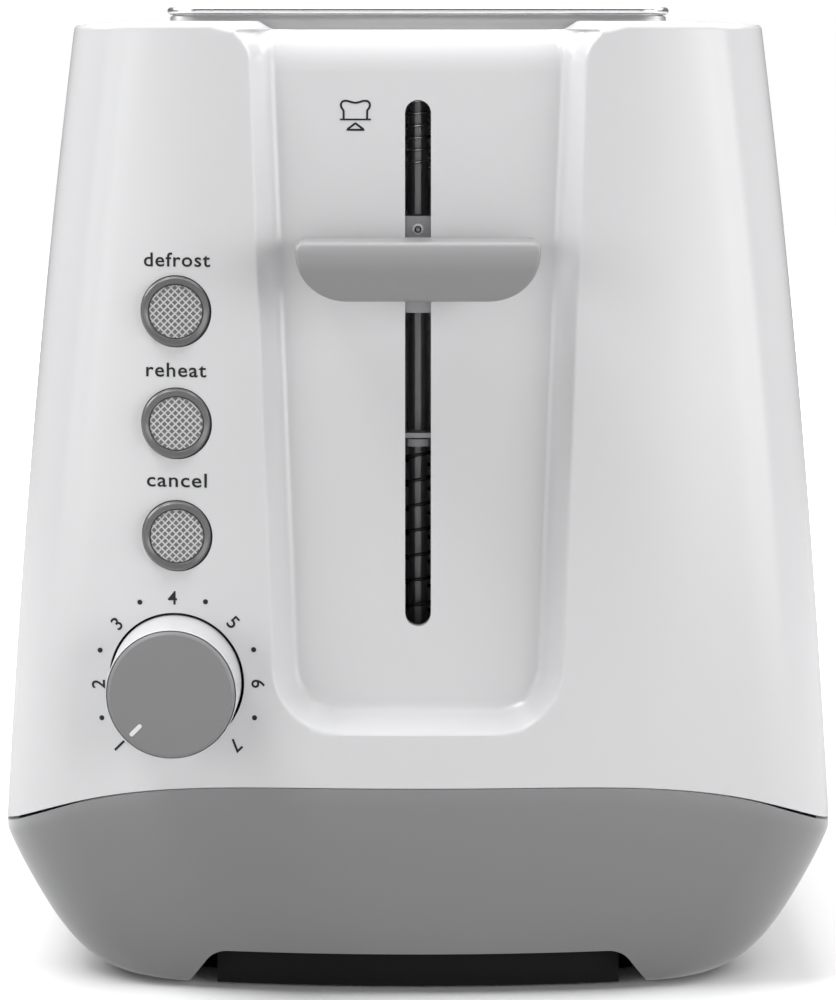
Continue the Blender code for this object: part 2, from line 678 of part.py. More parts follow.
# --- lever carriage -----------------------------------------------------------------------
def make_coil(name, bottom, top, radius_low, radius_high, wire, turns, finish):
    """A coil spring round the guide rod, as one open wire that widens or narrows as it climbs."""
    curve = bpy.data.curves.new(name, "CURVE")
    curve.dimensions = "3D"
    curve.bevel_depth = wire
    curve.bevel_resolution = 2
    curve.use_fill_caps = True
    spline = curve.splines.new("POLY")
    count = turns * 10 + 1
    spline.points.add(count - 1)
    for i, point in enumerate(spline.points):
        part = i / (count - 1)
        radius = radius_low + (radius_high - radius_low) * part
        angle = part * turns * 2 * pi
        point.co = (radius * cos(angle), radius * sin(angle), (top - bottom) * part, 1)
    return as_mesh(name, curve, Matrix.Translation((0, ROD_Y, bottom)), finish)


def make_guide_rod():
    cylinder("guide_rod", (0, ROD_Y, ROD_Z[0]), ROD_RADIUS, ROD_Z[1] - ROD_Z[0], ZINC, sides=20)
    for word, low in (("upper", 188 * MM), ("lower", 30.7 * MM)):
        bracket = box(f"rod_bracket_{word}", (-9 * MM, ROD_Y - 7 * MM, low),
                      (9 * MM, CHASSIS_Y[0] - GAP, low + 2 * MM), ZINC)
        boolean(bracket, cylinder(f"rod_hole_{word}", (0, ROD_Y, low - 5 * MM), ROD_RADIUS + GAP,
                                  12 * MM, None, sides=20))
    make_coil("lift_spring", 33.4 * MM, 110.8 * MM, 7.2 * MM, 4.6 * MM, 0.35 * MM, 12, WIRE)
    make_coil("buffer_spring", 167.4 * MM, 187.3 * MM, 4.2 * MM, 4.2 * MM, 0.35 * MM, 8, WIRE)


def make_spring_collar():
    axis = axis_empty("carriage_slide", (0, ROD_Y, COLLAR_Z[0]))
    low, high = COLLAR_Z
    inner, outer = ROD_RADIUS + GAP, COLLAR_RADIUS
    turned("spring_collar", [(inner, high - low), (outer, high - low), (outer, 0), (inner, 0),
                             (inner, high - low)], (0, ROD_Y, low), ZINC, parent=axis, sides=24)
    return axis


def make_carriage():
    """Sheet bracket that runs on the rod and joins the lever arm to the bread racks."""
    axis = axis_empty("high_lift", (0, ROD_Y, BRACKET_TOP))
    metal, rear, front = BRACKET_METAL, BRACKET_REAR, BRACKET_FRONT
    bracket = box("carriage_bracket", (-28 * MM, rear - metal, 119 * MM), (28 * MM, rear, 133 * MM),
                  ZINC, axis)
    pieces = {
        "tower": ((-8 * MM, rear - metal, 113.3 * MM), (8 * MM, rear, BRACKET_TOP)),
        "top_ear": ((-7 * MM, front, BRACKET_TOP - metal), (7 * MM, rear, BRACKET_TOP)),
        "low_ear": ((-7 * MM, -112 * MM, 113.3 * MM), (7 * MM, rear, 113.3 * MM + metal)),
        "face": ((-7 * MM, front, 139 * MM), (7 * MM, front + metal, BRACKET_TOP)),
        "latch_tab": ((10 * MM, -101 * MM, 119 * MM), (24 * MM, rear, 119 * MM + metal)),
    }
    for name, (low, high) in pieces.items():
        boolean(bracket, box(f"bracket_{name}", low, high, None), "UNION")
    boolean(bracket, cylinder("bracket_bore", (0, ROD_Y, 105 * MM), ROD_RADIUS + GAP, 60 * MM, None,
                              sides=20))
    boolean(bracket, cylinder("rivet_hole", (0, front - 3 * MM, RIVET_Z), 1.2 * MM, 5 * MM, None,
                              "Y", sides=16))
    rivet = [(0, 2.4), (0.4, 2.3), (0.7, 1.9), (0.7, 0), (1.5, 0), (1.5, -0.8), (0, -0.8)]
    turned("lever_rivet", [(r * MM, h * MM) for r, h in rivet], (0, front + metal + GAP, RIVET_Z),
           ZINC, "Y", axis, 16)
    box("latch_armature", (9.5 * MM, -101 * MM, 116.7 * MM), (24.5 * MM, -89 * MM, 118.7 * MM),
        ZINC, axis)
    make_lever(axis)
    make_bread_racks(axis)


def make_lever(axis):
    half, low, high = ARM
    box("lever_arm", (-half, HANDLE_Y[1] - 4 * MM, low), (half, BRACKET_FRONT - GAP, high), ZINC, axis)
    low_z, high_z, radius = *HANDLE_Z, HANDLE_ROUND
    outline = [(HANDLE_HALF, high_z)]
    outline.append((-HANDLE_HALF, high_z))
    for side in (-1, 1):
        for i in range(7):
            angle = (i if side < 0 else 6 - i) / 6 * pi / 2
            outline.append((side * (HANDLE_HALF - radius + radius * cos(angle)),
                            low_z + radius - radius * sin(angle)))
    handle = prism("lever_handle", outline, *HANDLE_Y, LEVER_GREY, "Y", axis)
    boolean(handle, box("arm_socket", (-half - GAP, HANDLE_Y[1] - 4.5 * MM, low - GAP),
                        (half + GAP, HANDLE_Y[1] + 5 * MM, high + GAP), None))


def make_bread_racks(axis):
    """A rack for each slot: an upright strip with cross bars that the bread stands on."""
    low, high = RACK_Z
    for side, word in ((-1, "left"), (1, "right")):
        x = side * SLOT_X
        rack = box(f"bread_rack_{word}", (x - 0.8 * MM, RACK_Y[0], low), (x + 0.8 * MM, RACK_Y[1], high),
                   ZINC, axis)
        pitch = (SLOT_Y[1] - SLOT_Y[0] - 12 * MM) / (RACK_TINES - 1)
        bars = []
        for i in range(RACK_TINES):
            y = SLOT_Y[0] + 6 * MM + i * pitch
            bars.append(((x - TINE_HALF, y - 0.8 * MM, high - 1.6 * MM),
                         (x + TINE_HALF, y + 0.8 * MM, high + 0.4 * MM)))
        boolean(rack, box_set(f"tines_{word}", bars), "UNION")


# --- electrics ----------------------------------------------------------------------------
def make_electrics():
    magnet = box("electromagnet", (10 * MM, -102 * MM, 31 * MM), (24 * MM, -88 * MM, 34 * MM), COPPER)
    boolean(magnet, cylinder("magnet_coil", (17 * MM, -95 * MM, 33 * MM), 6 * MM, 13 * MM, None),
            "UNION")
    boolean(magnet, cylinder("magnet_core", (17 * MM, -95 * MM, 44 * MM), 3 * MM, 4.4 * MM, None),
            "UNION")
    box("contact_block", (-30 * MM, -100 * MM, 34 * MM), (-12 * MM, -80 * MM, 50 * MM), BLACK)
    box("control_board", (BOARD_X[0], BOARD_Y[0], BOARD_Z[0]), (BOARD_X[1], BOARD_Y[1], BOARD_Z[1]),
        BOARD)
    front = BOARD_Y[0] - GAP
    pot = box("dial_potentiometer", (KNOB_X - 8 * MM, front - 7 * MM, KNOB_Z - 8 * MM),
              (KNOB_X + 8 * MM, front, KNOB_Z + 8 * MM), BLACK)
    boolean(pot, cylinder("pot_bore", (KNOB_X, front - 12 * MM, KNOB_Z), KNOB_SHAFT + GAP,
                          10 * MM, None, "Y"))
    for word, z in BUTTON_Z.items():
        box(f"tact_switch_{word}", (BUTTON_X - 3 * MM, front - 3 * MM, z - 3 * MM),
            (BUTTON_X + 3 * MM, front, z + 3 * MM), BLACK)
        cylinder(f"indicator_led_{word}", (BUTTON_X + 6 * MM, front - 4 * MM, z), 1.5 * MM, 4 * MM,
                 LENS, "Y", sides=12)


def make_buttons():
    """Round push buttons: a metallic cup with a stem, and a lens set in its mouth."""
    for word, z in BUTTON_Z.items():
        face = front_at(BUTTON_X, z) - BUTTON_PROUD
        axis = axis_empty(f"button_slide_{word}", (BUTTON_X, face, z))
        stem = BUTTON_STEM_END - face
        radius, lens = BUTTON_RADIUS, LENS_RADIUS
        cup = [(0, 4 * MM), (lens + GAP, 4 * MM), (lens + GAP, 0), (radius - 0.5 * MM, 0),
               (radius, 0.6 * MM), (radius, 6.5 * MM), (2 * MM, 6.5 * MM), (2 * MM, stem), (0, stem)]
        turned(f"button_ring_{word}", [(r, -depth) for r, depth in cup], (BUTTON_X, face, z), SMOKE,
               "Y", axis, 28)
        disc = [(0, 0), (lens - 0.6 * MM, 0.1 * MM), (lens, 0.8 * MM), (lens, 3.7 * MM), (0, 3.7 * MM)]
        turned(f"button_lens_{word}", [(r, -depth) for r, depth in disc], (BUTTON_X, face, z), LENS,
               "Y", axis, 28)


def make_knob():
    """Browning dial: a tapered skirt on a shaft, a flat face and an inlaid pointer."""
    axis = axis_empty("knob_turn", (KNOB_X, KNOB_Y[0], KNOB_Z))
    foot, face = KNOB_RADIUS
    depth = KNOB_Y[1] - KNOB_Y[0]
    skirt = [(0, 1.8 * MM), (face, 1.8 * MM), (foot, depth), (KNOB_SHAFT, depth),
             (KNOB_SHAFT, depth + 13.5 * MM), (0, depth + 13.5 * MM)]
    turned("knob_body", [(r, -d) for r, d in skirt], (KNOB_X, KNOB_Y[0], KNOB_Z), WHITE, "Y", axis, 40)
    cap = [(0, 0), (face - 0.5 * MM, 0), (face, 0.5 * MM), (face, 1.5 * MM), (0, 1.5 * MM)]
    cap_obj = turned("knob_face", [(r, -d) for r, d in cap], (KNOB_X, KNOB_Y[0], KNOB_Z), GREY, "Y",
                     axis, 40)
    pocket = pointer_bar("pointer_pocket", None, GAP, 0.9 * MM, 2 * MM, None)
    boolean(cap_obj, pocket)
    pointer_bar("knob_pointer", WIRE, 0, 0.6 * MM, 0.1 * MM, axis)


def pointer_bar(name, finish, grow, sunk, proud, parent):
    """A short bar on the dial's face, lying along a radius."""
    low, high = KNOB_Y[0] - proud, KNOB_Y[0] + sunk
    bm = bmesh.new()
    size = (3.2 * MM + 2 * grow, high - low, 1 * MM + 2 * grow)
    bmesh.ops.create_cube(bm, size=1, matrix=Matrix.Diagonal((*size, 1)))
    at = (KNOB_X + POINTER_FROM_AXIS * cos(POINTER_ANGLE), (low + high) / 2,
          KNOB_Z + POINTER_FROM_AXIS * sin(POINTER_ANGLE))
    bar = add_object(name, mesh_from(bm, name), finish, at, parent)
    bar.rotation_euler = (0, -POINTER_ANGLE, 0)
    return bar


def main():
    make_outer_housing()
    make_top_plate()
    make_base_shell()
    make_bottom_plate()
    make_feet_and_screws()
    make_crumb_tray()
    make_cord_gland()
    make_chassis_plate("chassis_front_plate", CHASSIS_Y[0], -1)
    make_chassis_plate("chassis_rear_plate", CHASSIS_Y[1], 1)
    make_heat_shields()
    make_heating_elements()
    make_bread_guides()
    make_guide_rod()
    make_spring_collar()
    make_carriage()
    make_electrics()
    make_buttons()
    make_knob()


main()
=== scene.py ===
import math

import bmesh
import bpy
import numpy as np
from mathutils import Matrix, Vector


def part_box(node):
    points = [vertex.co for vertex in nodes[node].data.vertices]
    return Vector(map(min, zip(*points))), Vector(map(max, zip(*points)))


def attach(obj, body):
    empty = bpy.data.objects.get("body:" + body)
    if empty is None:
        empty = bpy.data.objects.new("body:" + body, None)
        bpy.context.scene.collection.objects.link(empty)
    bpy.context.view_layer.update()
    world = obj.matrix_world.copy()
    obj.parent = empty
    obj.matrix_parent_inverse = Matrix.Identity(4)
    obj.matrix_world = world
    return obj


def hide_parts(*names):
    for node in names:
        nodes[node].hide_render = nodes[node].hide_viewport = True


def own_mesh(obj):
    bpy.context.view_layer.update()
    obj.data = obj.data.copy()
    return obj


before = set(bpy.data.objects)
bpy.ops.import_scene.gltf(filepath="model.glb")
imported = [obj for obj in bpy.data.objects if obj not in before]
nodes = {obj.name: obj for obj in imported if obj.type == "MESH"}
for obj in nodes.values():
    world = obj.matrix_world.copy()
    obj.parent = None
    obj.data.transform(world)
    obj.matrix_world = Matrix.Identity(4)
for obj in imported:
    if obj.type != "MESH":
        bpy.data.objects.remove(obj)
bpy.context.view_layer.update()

mm = 0.001
print("frame loaded:", len(nodes), "nodes")


cameraSetup = {
    "distance": 690 * mm,                # from the front of the casing
    "height": 191.9 * mm,
    "tiltDown": 7.326,                   # degrees
    "lens": 126.0, "sensor": 36.0,       # millimetres
    "clip": (0.01, 50.0),
    "casingFront": -133 * mm,
}


# A level camera in front of the casing, tilted down by one angle
def makeCamera(setup):
    data = bpy.data.cameras.new("camera")
    data.lens = setup["lens"]
    data.sensor_width = setup["sensor"]
    data.clip_start, data.clip_end = setup["clip"]
    camera = bpy.data.objects.new("camera", data)
    bpy.context.scene.collection.objects.link(camera)
    camera.location = (0, setup["casingFront"] - setup["distance"], setup["height"])
    camera.rotation_euler = (math.radians(90 - setup["tiltDown"]), 0, 0)
    bpy.context.scene.camera = camera


makeCamera(cameraSetup)


# studio: soft boxes on a dome round the object, and a white sheet under it

studio = {
    "distance": 1.5,                     # metres, from the aim point to each soft box
    "aim": (0, 0, 0.1),
    "ambient": 0.01,
    "size": 0.62,                        # side of each square soft box
    "boxes": [                           # name, azimuth, elevation, watts
        ("highLeft", -60, 62, 14.0),
        ("highRight", 60, 62, 5.5),
        ("overhead", 0, 90, 5.2),
        ("lowLeft", -38, 8, 3.4),
        ("lowRight", 38, 8, 4.7),
        ("wideLeft", -60, 8, 1.9),
        ("wideRight", 60, 8, 4.2),
        ("slotFill", 0, 8, 1.0),
        ("sideLeft", -90, 35, 7.2),
        ("sideRight", 90, 35, 6.6),
        ("highRear", 180, 62, 6.5),
        ("rearLeft", -125, 50, 4.4),
        ("rearRight", 125, 50, 4.4),
        ("rear", 180, 30, 6.0),
    ],
    "floorGrey": 0.45, "floorSeen": 0.93,        # how pale the sheet is to the object and the camera
    "floorSize": 6.0, "floorRough": 0.95,
    "shadowReach": (0.13, 0.34),         # the sheet turns pure white between these distances
}


# Each soft box stands at aim + distance * (sin a cos e, -cos a cos e, sin e) and faces the aim
def makeStudio(setup):
    scene = bpy.context.scene
    scene.view_settings.view_transform = "Standard"
    world = bpy.data.worlds.new("studioWorld")
    scene.world = world
    world.use_nodes = True
    tree = world.node_tree
    seen = tree.nodes.new("ShaderNodeLightPath")
    strength = tree.nodes.new("ShaderNodeMapRange")
    strength.inputs["To Min"].default_value = setup["ambient"]
    tree.links.new(seen.outputs["Is Camera Ray"], strength.inputs["Value"])
    tree.links.new(strength.outputs["Result"], tree.nodes["Background"].inputs["Strength"])
    tree.nodes["Background"].inputs["Color"].default_value = (1, 1, 1, 1)
    aim = Vector(setup["aim"])
    for name, azimuth, elevation, watts in setup["boxes"]:
        light = bpy.data.lights.new(name, "AREA")
        light.shape = "SQUARE"
        light.size = setup["size"]
        light.energy = watts
        lamp = bpy.data.objects.new(name, light)
        scene.collection.objects.link(lamp)
        a, e = math.radians(azimuth), math.radians(elevation)
        away = Vector((math.sin(a) * math.cos(e), -math.cos(a) * math.cos(e), math.sin(e)))
        lamp.location = aim + away * setup["distance"]
        lamp.rotation_euler = (-away).to_track_quat("-Z", "Y").to_euler()
    half = setup["floorSize"] / 2
    corners = np.array([[[-half, -half, 0], [half, -half, 0]], [[-half, half, 0], [half, half, 0]]])
    floor = gridObject("studioFloor", corners, smoothAngle=None)
    paint(floor, floorMaterial(setup))
    print("studio ready")


# Pale paper that goes over to pure white away from the object, for the camera only
def floorMaterial(setup):
    made = bpy.data.materials.new("studioPaper")
    made.use_nodes = True
    tree = made.node_tree
    shader = tree.nodes["Principled BSDF"]
    shader.inputs["Roughness"].default_value = setup["floorRough"]
    shader.inputs["Specular IOR Level"].default_value = 0.0
    shader.inputs["Emission Color"].default_value = (1, 1, 1, 1)
    place = tree.nodes.new("ShaderNodeTexCoord")
    far = tree.nodes.new("ShaderNodeVectorMath")
    far.operation = "LENGTH"
    glow = tree.nodes.new("ShaderNodeMapRange")
    glow.interpolation_type = "SMOOTHSTEP"
    glow.inputs["From Min"].default_value, glow.inputs["From Max"].default_value = setup["shadowReach"]
    seen = tree.nodes.new("ShaderNodeLightPath")
    both = tree.nodes.new("ShaderNodeMath")
    both.operation = "MULTIPLY"
    join = tree.links.new
    blendColours(tree, seen.outputs["Is Camera Ray"], (setup["floorGrey"],) * 3,
                 (setup["floorSeen"],) * 3, shader.inputs["Base Color"])
    join(place.outputs["Object"], far.inputs[0])
    join(far.outputs["Value"], glow.inputs["Value"])
    join(glow.outputs["Result"], both.inputs[0])
    join(seen.outputs["Is Camera Ray"], both.inputs[1])
    join(both.outputs[0], shader.inputs["Emission Strength"])
    return made


# An object from points and faces, smooth except where faces meet past an angle
def meshObject(name, points, faces, smoothAngle=40):
    mesh = bpy.data.meshes.new(name)
    mesh.from_pydata(np.asarray(points, float).tolist(), [], faces)
    mesh.validate()
    obj = bpy.data.objects.new(name, mesh)
    bpy.context.scene.collection.objects.link(obj)
    if smoothAngle:
        mesh.shade_smooth()
        mesh.set_sharp_from_angle(angle=math.radians(smoothAngle))
    return obj


# Quads of a rows x columns grid of points numbered row by row.
def gridFaces(rows, columns, wrapRows=False, wrapColumns=False, start=0):
    r = np.arange(rows if wrapRows else rows - 1)
    c = np.arange(columns if wrapColumns else columns - 1)
    r, c = np.meshgrid(r, c, indexing="ij")
    r2, c2 = (r + 1) % rows, (c + 1) % columns
    quads = np.stack([r * columns + c, r * columns + c2, r2 * columns + c2, r2 * columns + c], -1)
    return quads.reshape(-1, 4) + start


# A surface over a rows x columns x 3 array; ends closes the first and last row with a face.
def gridObject(name, grid, wrapRows=False, wrapColumns=False, flip=False, ends=False, smoothAngle=40):
    rows, columns = grid.shape[:2]
    quads = gridFaces(rows, columns, wrapRows, wrapColumns)
    if flip:
        quads = quads[:, ::-1]
    faces = quads.tolist()
    if ends:
        first, last = list(range(columns)), list(range((rows - 1) * columns, rows * columns))
        faces += [first, last[::-1]] if flip else [first[::-1], last]
    return meshObject(name, grid.reshape(-1, 3), faces, smoothAngle)


# Profile (radius, distance along the axis) carried round the axis; a radius of 0 is a pole.
def turnedSurface(name, profile, centre, along, sides=96, smoothAngle=30):
    profile = np.asarray(profile, float)
    axis = np.asarray(along, float)
    across = np.cross(axis, (0, 0, 1.0) if abs(axis[2]) < 0.9 else (0, 1.0, 0))
    across /= np.linalg.norm(across)
    other = np.cross(axis, across)
    turn = np.linspace(0, 2 * math.pi, sides, endpoint=False)
    ring = np.cos(turn)[:, None] * across + np.sin(turn)[:, None] * other
    grid = (np.asarray(centre) + profile[:, None, 1:2] * axis
            + np.maximum(profile[:, None, 0:1], 1e-7) * ring[None])
    obj = gridObject(name, grid, wrapColumns=True, smoothAngle=None)
    return tidyClosed(obj, smoothAngle)


# Merge poles, point the faces outwards, close open ends and mark the sharp edges.
def tidyClosed(obj, smoothAngle):
    bm = bmesh.new()
    bm.from_mesh(obj.data)
    bmesh.ops.remove_doubles(bm, verts=bm.verts, dist=2e-6)
    bmesh.ops.holes_fill(bm, edges=[e for e in bm.edges if e.is_boundary])
    bmesh.ops.recalc_face_normals(bm, faces=bm.faces)
    bm.to_mesh(obj.data)
    bm.free()
    obj.data.shade_smooth()
    obj.data.set_sharp_from_angle(angle=math.radians(smoothAngle))
    return obj


# A polyline of (a, b) points with its inner corners rounded by arcs of one radius.
def arcProfile(points, radius, steps=4):
    points = np.asarray(points, float)
    out = [points[0]]
    for before, corner, after in zip(points, points[1:], points[2:]):
        a, b = before - corner, after - corner
        la, lb = np.linalg.norm(a), np.linalg.norm(b)
        a, b = a / la, b / lb
        half = math.acos(np.clip(a @ b, -1, 1)) / 2
        cut = min(radius / math.tan(half), la * 0.45, lb * 0.45)
        t = np.linspace(0, 1, steps + 1)[:, None]
        start, end = corner + a * cut, corner + b * cut
        out.extend((1 - t) ** 2 * start + 2 * t * (1 - t) * corner + t ** 2 * end)
    out.append(points[-1])
    return np.array(out)


# Rings of a round wire along a path: each ring lies across the path's direction.
def tubeGrid(path, radius, sides, closed=False):
    path = np.asarray(path, float)
    if closed:
        run = np.roll(path, -1, 0) - np.roll(path, 1, 0)
    else:
        run = np.gradient(path, axis=0)
    run /= np.linalg.norm(run, axis=1, keepdims=True)
    guide = np.array([0.13, 0.02, 0.99]) if np.abs(run[:, 2]).mean() < 0.8 else np.array([1.0, 0.07, 0])
    side = np.cross(run, guide)
    side /= np.linalg.norm(side, axis=1, keepdims=True)
    up = np.cross(side, run)
    turn = np.linspace(0, 2 * math.pi, sides, endpoint=False)
    return path[:, None] + radius * (np.cos(turn)[None, :, None] * side[:, None]
                                     + np.sin(turn)[None, :, None] * up[:, None])


# One mesh of several round wires, each along its own path.
def tubeObject(name, paths, radius, sides=8, closed=False):
    points, faces, start = [], [], 0
    for path in paths:
        grid = tubeGrid(path, radius, sides, closed)
        rows = len(grid)
        quads = gridFaces(rows, sides, closed, True, start)[:, ::-1]
        faces += quads.tolist()
        if not closed:
            faces += [list(range(start, start + sides)),
                      list(range(start + (rows - 1) * sides, start + rows * sides))[::-1]]
        points.append(grid.reshape(-1, 3))
        start += rows * sides
    obj = meshObject(name, np.concatenate(points), faces, None)
    return tidyNormals(obj, 50)


# Faces turned outwards, then smooth except past an angle
def tidyNormals(obj, smoothAngle):
    bm = bmesh.new()
    bm.from_mesh(obj.data)
    bmesh.ops.recalc_face_normals(bm, faces=bm.faces)
    bm.to_mesh(obj.data)
    bm.free()
    obj.data.shade_smooth()
    obj.data.set_sharp_from_angle(angle=math.radians(smoothAngle))
    return obj


# Rounded rectangle in plan, counter-clockwise, with each point's outward direction.
def roundedLoop(halfX, lowY, highY, radius, arcSteps=10):
    places, outs = [], []
    middles = [(halfX - radius, highY - radius), (radius - halfX, highY - radius),
               (radius - halfX, lowY + radius), (halfX - radius, lowY + radius)]
    for corner, middle in enumerate(middles):
        turn = (corner + np.linspace(0, 1, arcSteps + 1)) * math.pi / 2
        out = np.stack([np.cos(turn), np.sin(turn)], -1)
        places.append(np.asarray(middle) + radius * out)
        outs.append(out)
    return np.concatenate(places), np.concatenate(outs)


# Profile (outward, height) carried round a closed plan loop.
def sweepLoop(name, loop, profile, flip=False, shiftX=0.0, closedProfile=False, smoothAngle=35):
    places, outs = loop
    profile = np.asarray(profile, float)
    plan = places[None] + profile[:, None, 0:1] * outs[None]
    plan[..., 0] += shiftX
    height = np.broadcast_to(profile[:, None, 1:2], plan.shape[:2] + (1,))
    grid = np.concatenate([plan, height], -1)
    return gridObject(name, grid, wrapRows=closedProfile, wrapColumns=True, flip=flip,
                      smoothAngle=smoothAngle)


# One piece from several meshes.
def joined(name, objects):
    bm = bmesh.new()
    for obj in objects:
        bm.from_mesh(obj.data)
    mesh = bpy.data.meshes.new(name)
    bm.to_mesh(mesh)
    bm.free()
    for obj in objects:
        bpy.data.objects.remove(obj, do_unlink=True)
    made = bpy.data.objects.new(name, mesh)
    bpy.context.scene.collection.objects.link(made)
    return made


# A flat closed outline carried from low to high along +Z, or along +Y for one drawn in XZ.
def extruded(name, outline, low, high, facing="Z"):
    outline = np.asarray(outline, float)
    levels = np.array([low, high])
    a = np.broadcast_to(outline[None, :, 0], (2, len(outline)))
    b = np.broadcast_to(outline[None, :, 1], (2, len(outline)))
    c = np.broadcast_to(levels[:, None], a.shape)
    grid = np.stack([a, b, c] if facing == "Z" else [a, c, b], -1)
    return tidyNormals(gridObject(name, grid, wrapColumns=True, ends=True, smoothAngle=None), 30)


# Take cutters out of a closed piece, then leave it as a plain mesh.
def cutAway(obj, cutters, smoothAngle=32):
    tool = joined(obj.name + "Cutter", cutters)
    step = obj.modifiers.new("cut", "BOOLEAN")
    step.operation = "DIFFERENCE"
    step.solver = "EXACT"
    step.use_self = True
    step.object = tool
    bpy.context.view_layer.update()
    result = bpy.data.meshes.new_from_object(obj.evaluated_get(bpy.context.evaluated_depsgraph_get()))
    obj.modifiers.clear()
    obj.data = result
    bpy.data.objects.remove(tool, do_unlink=True)
    result.shade_smooth()
    result.set_sharp_from_angle(angle=math.radians(smoothAngle))
    return obj


# One material on a whole piece
def paint(obj, finish):
    obj.data.materials.clear()
    obj.data.materials.append(finish)
    return obj


# Paint a finished piece, fix it to its body and hide the frame parts it stands for; the slot name is not
# used.
def settle(obj, finish, body, slotName, *stands):
    paint(obj, finish)
    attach(obj, body)
    if stands:
        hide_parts(*stands)
    return obj


# An empty node group with named sockets, and its entry and exit nodes
def nodeGroup(name, inputs, outputs):
    group = bpy.data.node_groups.new(name, "ShaderNodeTree")
    for label, kind, value in inputs:
        made = group.interface.new_socket(label, in_out="INPUT", socket_type=kind)
        made.default_value = value
    for label, kind in outputs:
        group.interface.new_socket(label, in_out="OUTPUT", socket_type=kind)
    return group, group.nodes.new("NodeGroupInput"), group.nodes.new("NodeGroupOutput")


# Fine moulded skin: height of the texture, and a slow mottle over the whole part.
def makeMouldSkin():
    group, entry, leave = nodeGroup(
        "mouldSkin",
        [("Grain Scale", "NodeSocketFloat", 900.0), ("Mottle Scale", "NodeSocketFloat", 14.0)],
        [("Height", "NodeSocketFloat"), ("Mottle", "NodeSocketFloat")])
    place = group.nodes.new("ShaderNodeTexCoord")
    grain = group.nodes.new("ShaderNodeTexNoise")
    grain.inputs["Detail"].default_value = 2.0
    mottle = group.nodes.new("ShaderNodeTexNoise")
    mottle.inputs["Detail"].default_value = 3.0
    join = group.links.new
    join(place.outputs["Object"], grain.inputs["Vector"])
    join(place.outputs["Object"], mottle.inputs["Vector"])
    join(entry.outputs["Grain Scale"], grain.inputs["Scale"])
    join(entry.outputs["Mottle Scale"], mottle.inputs["Scale"])
    join(grain.outputs["Fac"], leave.inputs["Height"])
    join(mottle.outputs["Fac"], leave.inputs["Mottle"])
    return group


# Long scratches: noise drawn out along one axis by a stretch vector.
def makeBrushedGrain():
    group, entry, leave = nodeGroup(
        "brushedGrain",
        [("Stretch", "NodeSocketVector", (20.0, 20.0, 2500.0))],
        [("Height", "NodeSocketFloat"), ("Streak", "NodeSocketFloat")])
    place = group.nodes.new("ShaderNodeTexCoord")
    scale = group.nodes.new("ShaderNodeVectorMath")
    scale.operation = "MULTIPLY"
    grain = group.nodes.new("ShaderNodeTexNoise")
    grain.inputs["Scale"].default_value = 1.0
    grain.inputs["Detail"].default_value = 4.0
    streak = group.nodes.new("ShaderNodeTexNoise")
    streak.inputs["Scale"].default_value = 0.25
    streak.inputs["Detail"].default_value = 2.0
    join = group.links.new
    join(place.outputs["Object"], scale.inputs[0])
    join(entry.outputs["Stretch"], scale.inputs[1])
    join(scale.outputs["Vector"], grain.inputs["Vector"])
    join(scale.outputs["Vector"], streak.inputs["Vector"])
    join(grain.outputs["Fac"], leave.inputs["Height"])
    join(streak.outputs["Fac"], leave.inputs["Streak"])
    return group


# Faint smears and settled dust: patches that come and go over a few centimetres.
def makeHandling():
    group, entry, leave = nodeGroup(
        "handling",
        [("Scale", "NodeSocketFloat", 35.0), ("Cover", "NodeSocketFloat", 0.5)],
        [("Smear", "NodeSocketFloat")])
    place = group.nodes.new("ShaderNodeTexCoord")
    patch = group.nodes.new("ShaderNodeTexNoise")
    patch.inputs["Detail"].default_value = 6.0
    patch.inputs["Roughness"].default_value = 0.65
    ramp = group.nodes.new("ShaderNodeMapRange")
    ramp.inputs["From Max"].default_value = 0.85
    join = group.links.new
    join(place.outputs["Object"], patch.inputs["Vector"])
    join(entry.outputs["Scale"], patch.inputs["Scale"])
    join(patch.outputs["Fac"], ramp.inputs["Value"])
    join(entry.outputs["Cover"], ramp.inputs["From Min"])
    join(ramp.outputs["Result"], leave.inputs["Smear"])
    return group


groups = {"skin": makeMouldSkin(), "brushed": makeBrushedGrain(), "handling": makeHandling()}


# A group placed in a material, with its own values
def groupNode(tree, which, **values):
    node = tree.nodes.new("ShaderNodeGroup")
    node.node_tree = groups[which]
    for label, value in values.items():
        node.inputs[label.replace("_", " ")].default_value = value
    return node


# A colour between dark and light, by a factor that changes over the surface
def blendColours(tree, factor, dark, light, target):
    mix = tree.nodes.new("ShaderNodeMix")
    mix.data_type = "RGBA"
    mix.inputs["A"].default_value = (*dark, 1)
    mix.inputs["B"].default_value = (*light, 1)
    tree.links.new(factor, mix.inputs["Factor"])
    tree.links.new(mix.outputs["Result"], target)
    return mix


# A value from 0 to 1 spread between low and high
def ranged(tree, value, low, high, target):
    spread = tree.nodes.new("ShaderNodeMapRange")
    spread.inputs["To Min"].default_value = low
    spread.inputs["To Max"].default_value = high
    tree.links.new(value, spread.inputs["Value"])
    tree.links.new(spread.outputs["Result"], target)


# A height turned into the shader's normal
def addBump(tree, height, distance, strength=1.0):
    bump = tree.nodes.new("ShaderNodeBump")
    bump.inputs["Distance"].default_value = distance
    bump.inputs["Strength"].default_value = strength
    tree.links.new(height, bump.inputs["Height"])
    tree.links.new(bump.outputs["Normal"], tree.nodes["Principled BSDF"].inputs["Normal"])


# A new material with a plain metallic value
def startMaterial(name, metallic=0.0):
    made = bpy.data.materials.new(name)
    made.use_nodes = True
    shader = made.node_tree.nodes["Principled BSDF"]
    shader.inputs["Metallic"].default_value = metallic
    return made, made.node_tree, shader


